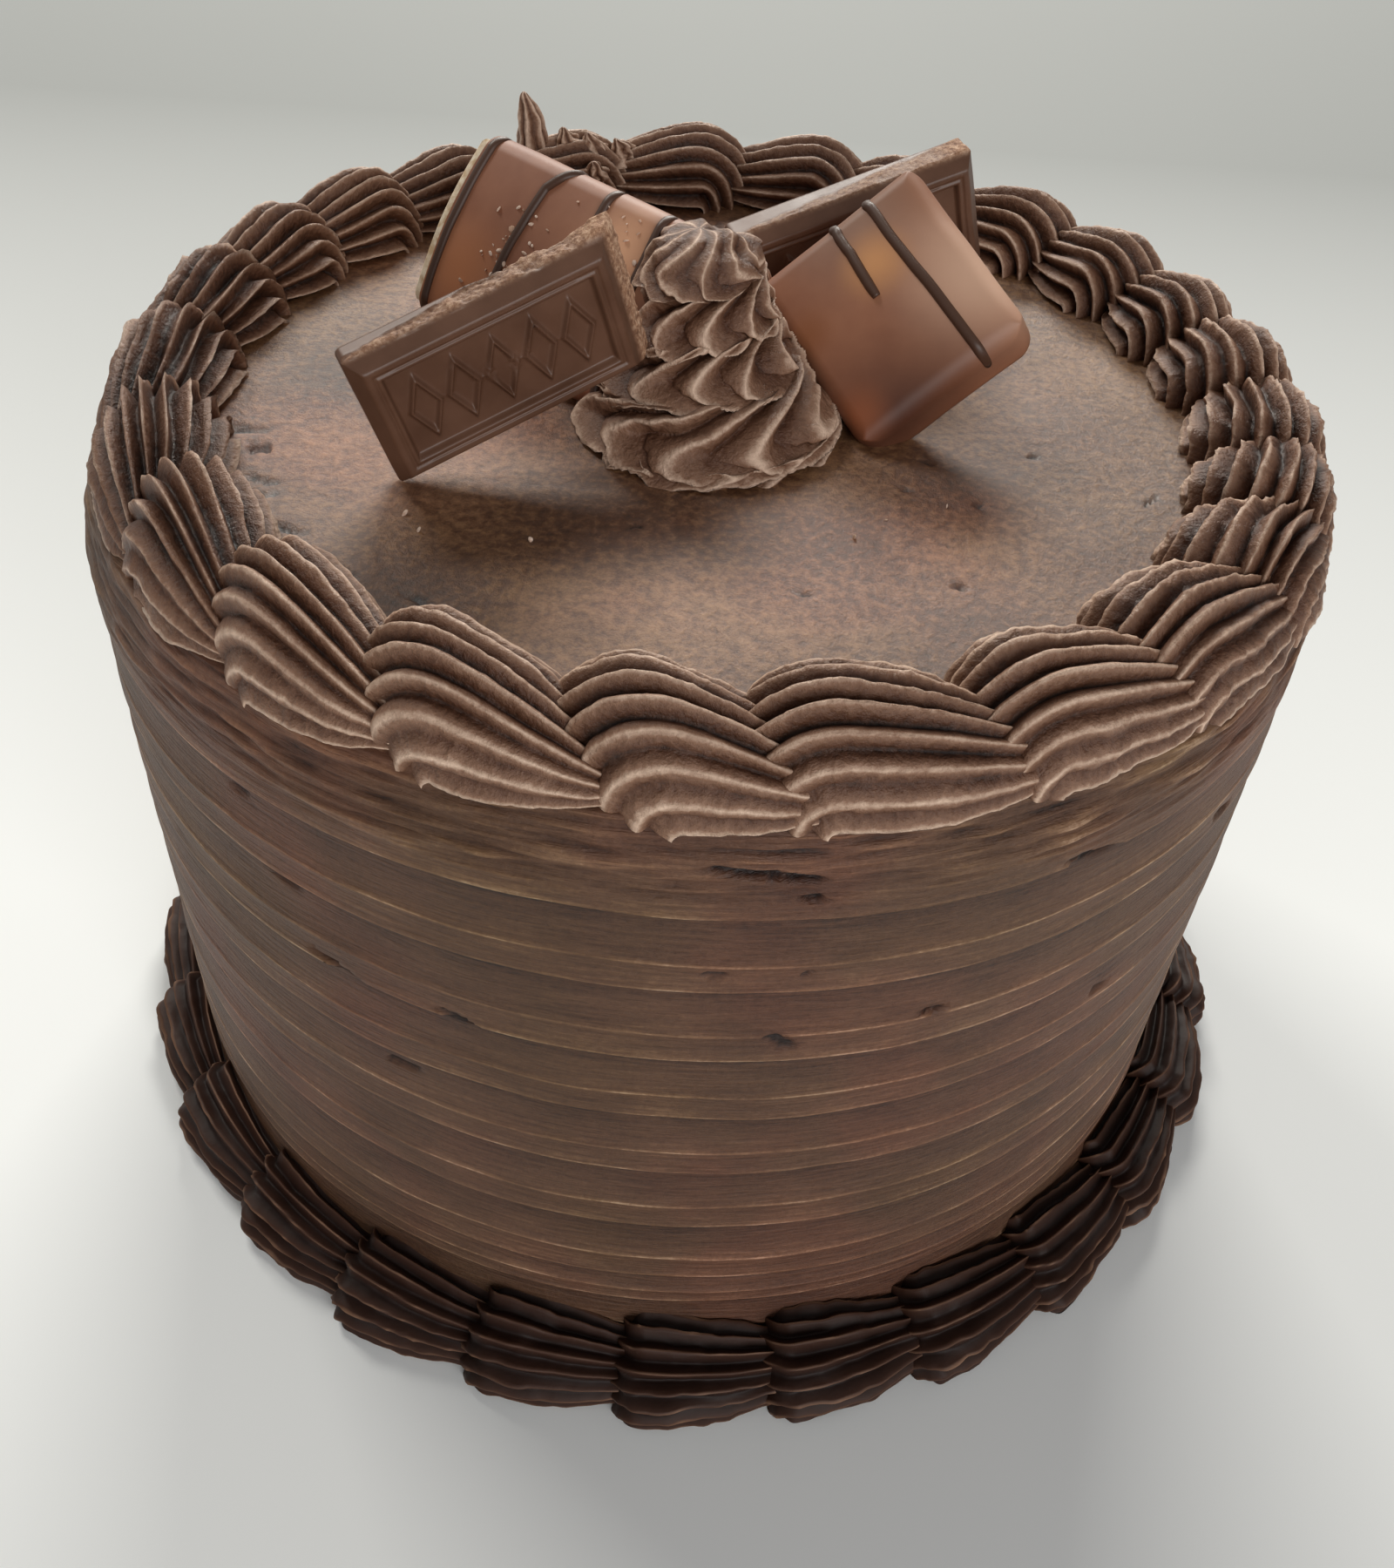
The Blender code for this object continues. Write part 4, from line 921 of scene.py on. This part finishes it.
def bar_segment(name, size, spot, broken, crumbly, seed):
    """A slab with a moulded face. Its far long side and right end are broken by the shares
    given, deeper towards the right: pushed in and out by lumps of several sizes, as far as
    it is crumbly, and marked by tone."""
    half_x, half_y = size[0] / 2, size[1] / 2
    edge = outline(half_x, half_y, MOULD_CORNER, columns=480)
    points = slab(edge, moulded_face(size), size[2], rows=92)
    along_far = np.clip((points[..., 1] - half_y) / 0.0005 + 1.2, 0, 1)
    at_right = np.clip((points[..., 0] - half_x) / 0.0005 + 1.2, 0, 1)
    snapped = np.maximum(along_far * broken[0], at_right * broken[1])
    snapped = snapped * np.clip((-SKIN_DEPTH - points[..., 2]) / 0.0010, 0, 1)
    share = np.clip(points[..., 0] / size[0] + 0.5, 0, 1)
    reach = SNAP_HEIGHT + SNAP_GAIN * share + 0.0004 * lumps(points, 0.0020, seed + 4)
    snapped = snapped * np.clip((reach + points[..., 2]) / 0.0003, 0, 1)
    rough = waves(points, BREAK_GRAIN, seed) - BREAK_SETBACK
    at_end = np.clip((points[..., 0] - half_x + 0.006) / 0.006, 0, 1)
    rough = rough + BREAK_SWELL * at_end * broken[0]
    push = np.stack([points[..., 0] > half_x * 0.97, points[..., 1] > half_y * 0.95], axis=-1)
    points[..., :2] += push * (rough * snapped * crumbly)[..., None]
    behind = np.clip((-LEAN_FROM - points[..., 2]) / (size[2] - LEAN_FROM), 0, 1)
    points[..., 0] += END_LEAN * broken[1] * behind * push[..., 0]
    points = points + 0.00006 * lumps(points, 0.004, seed + 3)[..., None]
    tone = np.clip(snapped * (0.75 + 700 * rough), 0, 1)
    return skin(name, laid(points, spot), tone=tone)


front_bar = bar_segment(
    "moulded_bar_front", FRONT_BAR_SIZE, FRONT_BAR, broken=(1.0, 0.8), crumbly=1.0, seed=300
)
back_bar = bar_segment(
    "moulded_bar_back", BACK_BAR_SIZE, BACK_BAR, broken=(0.85, 0.0), crumbly=0.35, seed=320
)

# Milk chocolate from a mould: dark brown with a soft gloss and faint cloudiness on the skin, and
# a pale sugary grain, about 0.7 mm, where it broke. The broken faces are also duller.
MOULDED_ROUGHNESS, BROKEN_ROUGHNESS = 0.42, 0.8
moulded, moulded_shader = new_material("milk_chocolate_moulded", MOULDED_ROUGHNESS)
place = node(moulded, "TexCoord", out="Object")
clouds = node(moulded, "TexNoise", {"Vector": place, "Scale": 160.0, "Detail": 4.0})
inputs = {"Vector": place, "Scale": 1500.0, "Detail": 4.0, "Roughness": 0.7}
crumb = node(moulded, "TexNoise", inputs)
tone = node(moulded, "Attribute", out="Fac", attribute_name="tone")
gloss = node(moulded, "ValToRGB", {"Fac": clouds}, stops=((0.35, "#573a2a"), (0.65, "#664736")))
stops = ((0.32, "#6d4834"), (0.50, "#a98063"), (0.68, "#dbb89b"))
broken = node(moulded, "ValToRGB", {"Fac": crumb}, stops=stops)
shade = node(moulded, "Mix", {0: tone, 6: gloss, 7: broken}, out=2, data_type="RGBA")
dull = node(moulded, "Mix", {0: tone, 2: MOULDED_ROUGHNESS, 3: BROKEN_ROUGHNESS})
grainy = node(moulded, "Math", {0: tone, 1: 0.9, 2: 0.08}, operation="MULTIPLY_ADD")
high = node(moulded, "Math", {0: crumb, 1: grainy}, operation="MULTIPLY")
relief = node(moulded, "Bump", {"Height": high, "Strength": 0.6, "Distance": 0.0005})
inputs = {"Base Color": shade, "Roughness": dull, "Normal": relief}
connect(moulded, moulded_shader, inputs)
for piece, solid in ((front_bar, "bar_piece_front"), (back_bar, "bar_piece_back")):
    piece.data.materials.append(moulded)
    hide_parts(solid)
    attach(piece, "root")


# Two pieces of a wafer bar filled with hazelnut cream stand beside them. The wafer is coated in
# milk chocolate, so its edges are round and its top is softly crowned. The left piece was cut,
# and shows its pale cream at that end.
LEFT_COATED = ((-0.0226, 0.0104, 0.1181), (0.0298, -0.0267, -0.0006), (0.0107, 0.0115, 0.0212))
RIGHT_COATED = ((0.0214, 0.0016, 0.1207), (0.0190, 0.0055, 0.0157), (-0.0151, 0.0213, 0.0109))
LEFT_COATED_SIZE = (0.0400, 0.0265, 0.0078)
RIGHT_COATED_SIZE = (0.0255, 0.0283, 0.0074)
COAT_CROWN = 0.0016
COAT_ROUNDING = 0.0024
COAT_CORNER = 0.0030
CUT_CORNER = 0.0003


def coated_face(size, cut_left):
    """The height of a coated top over any point: a low crown, (1 - (x/a)^2)(1 - (y/b)^2), that
    rolls over the edges on a quarter circle, but runs straight out at a cut end."""
    half_x, half_y = size[0] / 2, size[1] / 2

    def height(points):
        x, y = points[..., 0], points[..., 1]
        left = np.where(cut_left, 1.0, half_x + x)
        inward = np.minimum(np.minimum(half_x - x, left), half_y - np.abs(y))
        short = np.clip(1 - inward / COAT_ROUNDING, 0, 1)
        rolled = COAT_ROUNDING * (1 - np.sqrt(1 - short**2))
        lobe = np.where(x < 0, x * (not cut_left), x) / half_x
        crown = COAT_CROWN * (1 - lobe**2) * (1 - (y / half_y) ** 2)
        return crown - rolled + 0.00012 * lumps(points @ np.eye(2, 3), 0.007, 331)

    return height


def coated_bar(name, size, spot, cut_left):
    """A slab with a coated top and faintly wavy sides."""
    edge = outline(size[0] / 2, size[1] / 2, COAT_CORNER, columns=420)
    if cut_left:
        square = outline(size[0] / 2, size[1] / 2, CUT_CORNER, columns=420)
        edge = np.where(edge[:, :1] < 0, square, edge)
    points = slab(edge, coated_face(size, cut_left), size[2], rows=90)
    points = points + 0.00010 * lumps(points, 0.006, 340)[..., None]
    return skin(name, laid(points, spot))


left_coat = coated_bar("coated_wafer_left", LEFT_COATED_SIZE, LEFT_COATED, cut_left=True)
right_coat = coated_bar("coated_wafer_right", RIGHT_COATED_SIZE, RIGHT_COATED, cut_left=False)


def paint_light_and_shade(material, colour, spots, size, spot):
    """Paints light and shade on a face: blends a colour towards others round listed points of it,
    given as shares u and v of its half sizes, the reach of the blend and a hex colour."""
    place = node(material, "TexCoord", out="Object")
    for u, v, reach, tint in spots:
        flat = np.array([u * size[0] / 2, v * size[1] / 2, COAT_CROWN])
        centre = tuple(laid(flat, spot).tolist())
        away = node(material, "VectorMath", {0: place, 1: centre}, "Value", operation="DISTANCE")
        inputs = {"Value": away, "From Min": 0.0, "From Max": reach, "To Min": 1.0, "To Max": 0.0}
        near = node(material, "MapRange", inputs, interpolation_type="SMOOTHSTEP")
        inputs = {0: near, 6: colour, 7: linear(tint)}
        colour = node(material, "Mix", inputs, out=2, data_type="RGBA")
    return colour


def coat_material(name, spots, size, spot):
    """Thin milk chocolate over wafer and cream: satin and reddish brown, with painted light and
    shade
    at the listed spots: a painted orange glow where it is thin over the cream and light would come
    through, a painted sheen and a painted shade. Its clouds are about 8 mm."""
    made, shader = new_material(name, 0.52)
    place = node(made, "TexCoord", out="Object")
    clouds = node(made, "TexNoise", {"Vector": place, "Scale": 120.0, "Detail": 5.0})
    base = node(made, "ValToRGB", {"Fac": clouds}, stops=((0.30, "#83523b"), (0.70, "#99664b")))
    relief = node(made, "Bump", {"Height": clouds, "Strength": 0.15, "Distance": 0.0006})
    shade = paint_light_and_shade(made, base, spots, size, spot)
    connect(made, shader, {"Base Color": shade, "Normal": relief})
    return made


# Shares u and v of the half sizes, reach and colour of each spot of painted light and shade. On
# the
# right coat: painted sheen at the top and right edges, painted shade at the lower left, and a
# painted orange glow, as of light through the thin coat, in the middle and along the left edge. On
# the left
# coat: two spots of painted glow.
RIGHT_COAT_PAINTED_LIGHT = (
    (0.30, 1.00, 0.0160, "#86604a"),
    (1.00, -0.30, 0.0160, "#caa38a"),
    (-0.50, -1.30, 0.0200, "#3c1b10"),
    (0.15, 0.35, 0.0065, "#c48a58"),
    (-0.80, 0.20, 0.0050, "#8a5434"),
    (-0.85, -0.75, 0.0060, "#8a4c2c"),
)
LEFT_COAT_PAINTED_GLOW = ((0.50, 0.45, 0.0100, "#d6a27e"), (-0.70, -0.45, 0.0110, "#b4744c"))
for coat, side, spots, size, spot in (
    (right_coat, "right", RIGHT_COAT_PAINTED_LIGHT, RIGHT_COATED_SIZE, RIGHT_COATED),
    (left_coat, "left", LEFT_COAT_PAINTED_GLOW, LEFT_COATED_SIZE, LEFT_COATED),
):
    coat_made = coat_material(f"milk_chocolate_coat_{side}", spots, size, spot)
    coat.data.materials.append(coat_made)

# Threads of darker chocolate were trailed warm across both coats. They set half round, fused to
# what they cross.
THREAD_WIDTH = 0.0012
THREAD_HEIGHT = 0.0006
THREAD_SINK = 0.0012
THREAD_STEPS = 70
# Knots of each thread, at shares of the half sizes
RIGHT_THREADS = (
    ((0.02, 1.0), (0.02, 0.8), (0.0, 0.45), (-0.02, 0.05)),
    ((0.42, 1.0), (0.43, 0.85), (0.44, 0.3), (0.46, -0.35), (0.48, -0.88), (0.48, -1.0)),
)
LEFT_THREADS = (
    ((-0.93, -1.0), (-0.93, -0.8), (-0.93, 0.0), (-0.93, 0.82), (-0.93, 1.0)),
    ((-0.30, -0.95), (-0.36, -0.5), (-0.34, 0.1), (-0.30, 0.7), (-0.16, 1.0)),
    ((0.30, -0.95), (0.26, 0.0), (0.22, 0.7), (0.22, 1.0)),
    ((0.80, -0.95), (0.74, 0.0), (0.70, 0.8), (0.70, 1.0)),
)


def thread(name, line, size, spot, cut_left):
    """A strip along a line over a coated top: loops of a half ellipse above the coat and a
    deeper one sunk in it, that narrow towards both ends."""
    knots = np.array(line) * np.array(size[:2]) / 2
    at = np.linspace(0, 1, len(knots))
    t = np.linspace(0, 1, THREAD_STEPS)
    path = np.column_stack([np.interp(t, at, knots[:, 0]), np.interp(t, at, knots[:, 1])])
    path = path + 0.00025 * lumps(np.column_stack([t * 9, 0 * t, 0 * t]), 1.0, 350)[:, None]
    ahead = np.gradient(path, axis=0)
    ahead = ahead / np.linalg.norm(ahead, axis=1, keepdims=True)
    side = np.column_stack([ahead[:, 1], -ahead[:, 0]])
    top = coated_face(size, cut_left)(path)
    around = np.linspace(0, 2 * np.pi, 22, endpoint=False)
    width = THREAD_WIDTH / 2 * (0.85 + 0.3 * np.sqrt(np.clip(t * (1 - t) * 9, 0, 1)))[:, None]
    over = width * np.cos(around)
    flat = path[:, None] + side[:, None] * over[..., None]
    z = top[:, None] + np.where(np.sin(around) > 0, THREAD_HEIGHT, THREAD_SINK) * np.sin(around)
    return skin(name, laid(np.concatenate([flat, z[..., None]], axis=-1), spot))


threads_right = [
    thread(f"thread_right_{number + 1}", line, RIGHT_COATED_SIZE, RIGHT_COATED, cut_left=False)
    for number, line in enumerate(RIGHT_THREADS)
]
threads_left = [
    thread(f"thread_left_{number + 1}", line, LEFT_COATED_SIZE, LEFT_COATED, cut_left=True)
    for number, line in enumerate(LEFT_THREADS)
]

# Dark chocolate thread: greyish brown, satin
dark_thread, thread_shader = new_material("dark_chocolate_thread", 0.45)
connect(dark_thread, thread_shader, {"Base Color": linear("#4a3124")})
for piece in (*threads_right, *threads_left):
    piece.data.materials.append(dark_thread)
for pieces, solid in (
    ((left_coat, *threads_left), "coated_bar_left"),
    ((right_coat, *threads_right), "coated_bar_right"),
):
    for piece in pieces:
        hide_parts(solid)
        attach(piece, "root")


# The hazelnut cream that fills the left bar, a block from the cut end almost to the far one. The
# knife left it standing a little out of the cut, and rough there.
COAT_WALL = 0.0013
CREAM_CORNER = 0.0012
# Points above CREAM_SHOULDER follow the crown of the coat, this far under it
CREAM_SHOULDER = -0.0030
CREAM_GAP = 0.0003


def filling_block(size, reach_out):
    """Loops of a rounded box section along x, its first 2 mm roughened where the knife went."""
    x = np.concatenate([[-0.2, 0.0, 0.3, 1.0], np.linspace(2, 30, 6)])[:, None] * 0.001
    half_y, half_z = size[1] / 2 - COAT_WALL, (size[2] - 0.0024) / 2
    loop = outline(half_y, half_z, CREAM_CORNER, columns=200)
    grown = np.array([0.93, 0.98, 1.0, 1.0] + [1.0] * 6)[:, None]
    y, z = loop[:, 0] * grown, loop[:, 1] * grown - size[2] / 2
    points = np.stack([x - size[0] / 2 - reach_out + 0 * y, y, z], axis=-1)
    near = np.clip(1 - (points[..., :1] + size[0] / 2 + reach_out) / 0.002, 0, 1)
    crown = coated_face(size, True)(np.maximum(points[..., :2], [-size[0] / 2, -1.0]))
    shoulder = points[..., 2] > CREAM_SHOULDER
    points[..., 2] = np.where(shoulder, crown - CREAM_GAP, points[..., 2])
    return points + near * 0.0002 * lumps(points, 0.0012, 360)[..., None]


block = filling_block(LEFT_COATED_SIZE, reach_out=0.0011)
cream = skin("hazelnut_cream", laid(block, LEFT_COATED))

# Hazelnut cream: pale, matt and faintly grainy at about a millimetre
cream_made, cream_shader = new_material("hazelnut_cream", 0.6)
place = node(cream_made, "TexCoord", out="Object")
crumb = node(cream_made, "TexNoise", {"Vector": place, "Scale": 900.0, "Detail": 4.0})
shade = node(cream_made, "ValToRGB", {"Fac": crumb}, stops=((0.35, "#c9ab84"), (0.6, "#ecdcc2")))
connect(cream_made, cream_shader, {"Base Color": shade})
cream.data.materials.append(cream_made)
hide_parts("coated_bar_left_filling")
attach(cream, "root")


# Crumbs of milk chocolate broke off where the bars were snapped and cut. They lie on the left
# bar, along its edges and on the icing behind it.
CRUMB_SIZES = (0.00016, 0.00048)
# Middle, half spread along x and y, how many, and whether they lie on the left bar, where the
# first two are shares of its half sizes
CRUMB_SPREAD = (
    ((-0.35, -0.10), (0.30, 0.50), 46, True),
    ((0.35, 0.55), (0.35, 0.25), 16, True),
    ((-0.0330, -0.0030), (0.0060, 0.0050), 26, False),
    ((-0.0060, 0.0260), (0.0100, 0.0060), 22, False),
    ((-0.0280, -0.0330), (0.0080, 0.0040), 3, False),
    ((0.0300, -0.0250), (0.0120, 0.0080), 3, False),
)


def crumb_mesh(name, middles, sizes):
    """Every crumb is a coarse ball, dented by lumps, flattened, turned and scaled to its size
    about its middle. All are one mesh."""
    shape = bmesh.new()
    bmesh.ops.create_icosphere(shape, subdivisions=2, radius=1.0)
    ball = np.array([vertex.co[:] for vertex in shape.verts])
    faces = np.array([[vertex.index for vertex in face.verts] for face in shape.faces])
    shape.free()
    draw = np.random.default_rng(380)
    count = len(middles)
    stretch = draw.uniform(0.22, 1.0, (count, 1, 3))
    turns = np.linalg.qr(draw.normal(size=(count, 3, 3)))[0]
    dents = 1 + 0.35 * lumps(ball[None] + 5.0 * np.arange(count)[:, None, None], 0.9, 381)
    points = ball[None] * dents[..., None] * stretch @ turns * sizes[:, None, None]
    points = points + middles[:, None, :]
    corners = (faces[None] + len(ball) * np.arange(count)[:, None, None]).reshape(-1, 3)
    mesh = bpy.data.meshes.new(name)
    mesh.from_pydata(points.reshape(-1, 3).tolist(), [], corners.tolist())
    return new_piece(name, mesh)


draw = np.random.default_rng(382)
crumb_middles = []
for middle, spread, number, on_bar in CRUMB_SPREAD:
    flat = np.array(middle) + np.array(spread) * np.clip(draw.normal(0, 0.6, (number, 2)), -1, 1)
    if on_bar:
        flat = np.clip(flat, -0.92, 0.92) * np.array(LEFT_COATED_SIZE[:2]) / 2
        high = coated_face(LEFT_COATED_SIZE, True)(flat) + 0.0001
        crumb_middles.append(laid(np.column_stack([flat, high]), LEFT_COATED))
    else:
        crumb_middles.append(np.column_stack([flat, np.full(number, CAKE_HEIGHT + 0.0003)]))
crumb_middles = np.concatenate(crumb_middles)
crumb_sizes = draw.uniform(*CRUMB_SIZES, len(crumb_middles)) * draw.uniform(0.7, 1.2)
crumbs = crumb_mesh("chocolate_crumbs", crumb_middles, crumb_sizes)

# Broken milk chocolate: pale, dull and sugary
crumb_made, crumb_shader = new_material("milk_chocolate_crumbs", 0.8)
place = node(crumb_made, "TexCoord", out="Object")
grain = node(crumb_made, "TexNoise", {"Vector": place, "Scale": 900.0, "Detail": 3.0})
shade = node(crumb_made, "ValToRGB", {"Fac": grain}, stops=((0.35, "#b9957c"), (0.65, "#f0dccb")))
connect(crumb_made, crumb_shader, {"Base Color": shade})
crumbs.data.materials.append(crumb_made)
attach(crumbs, "root")
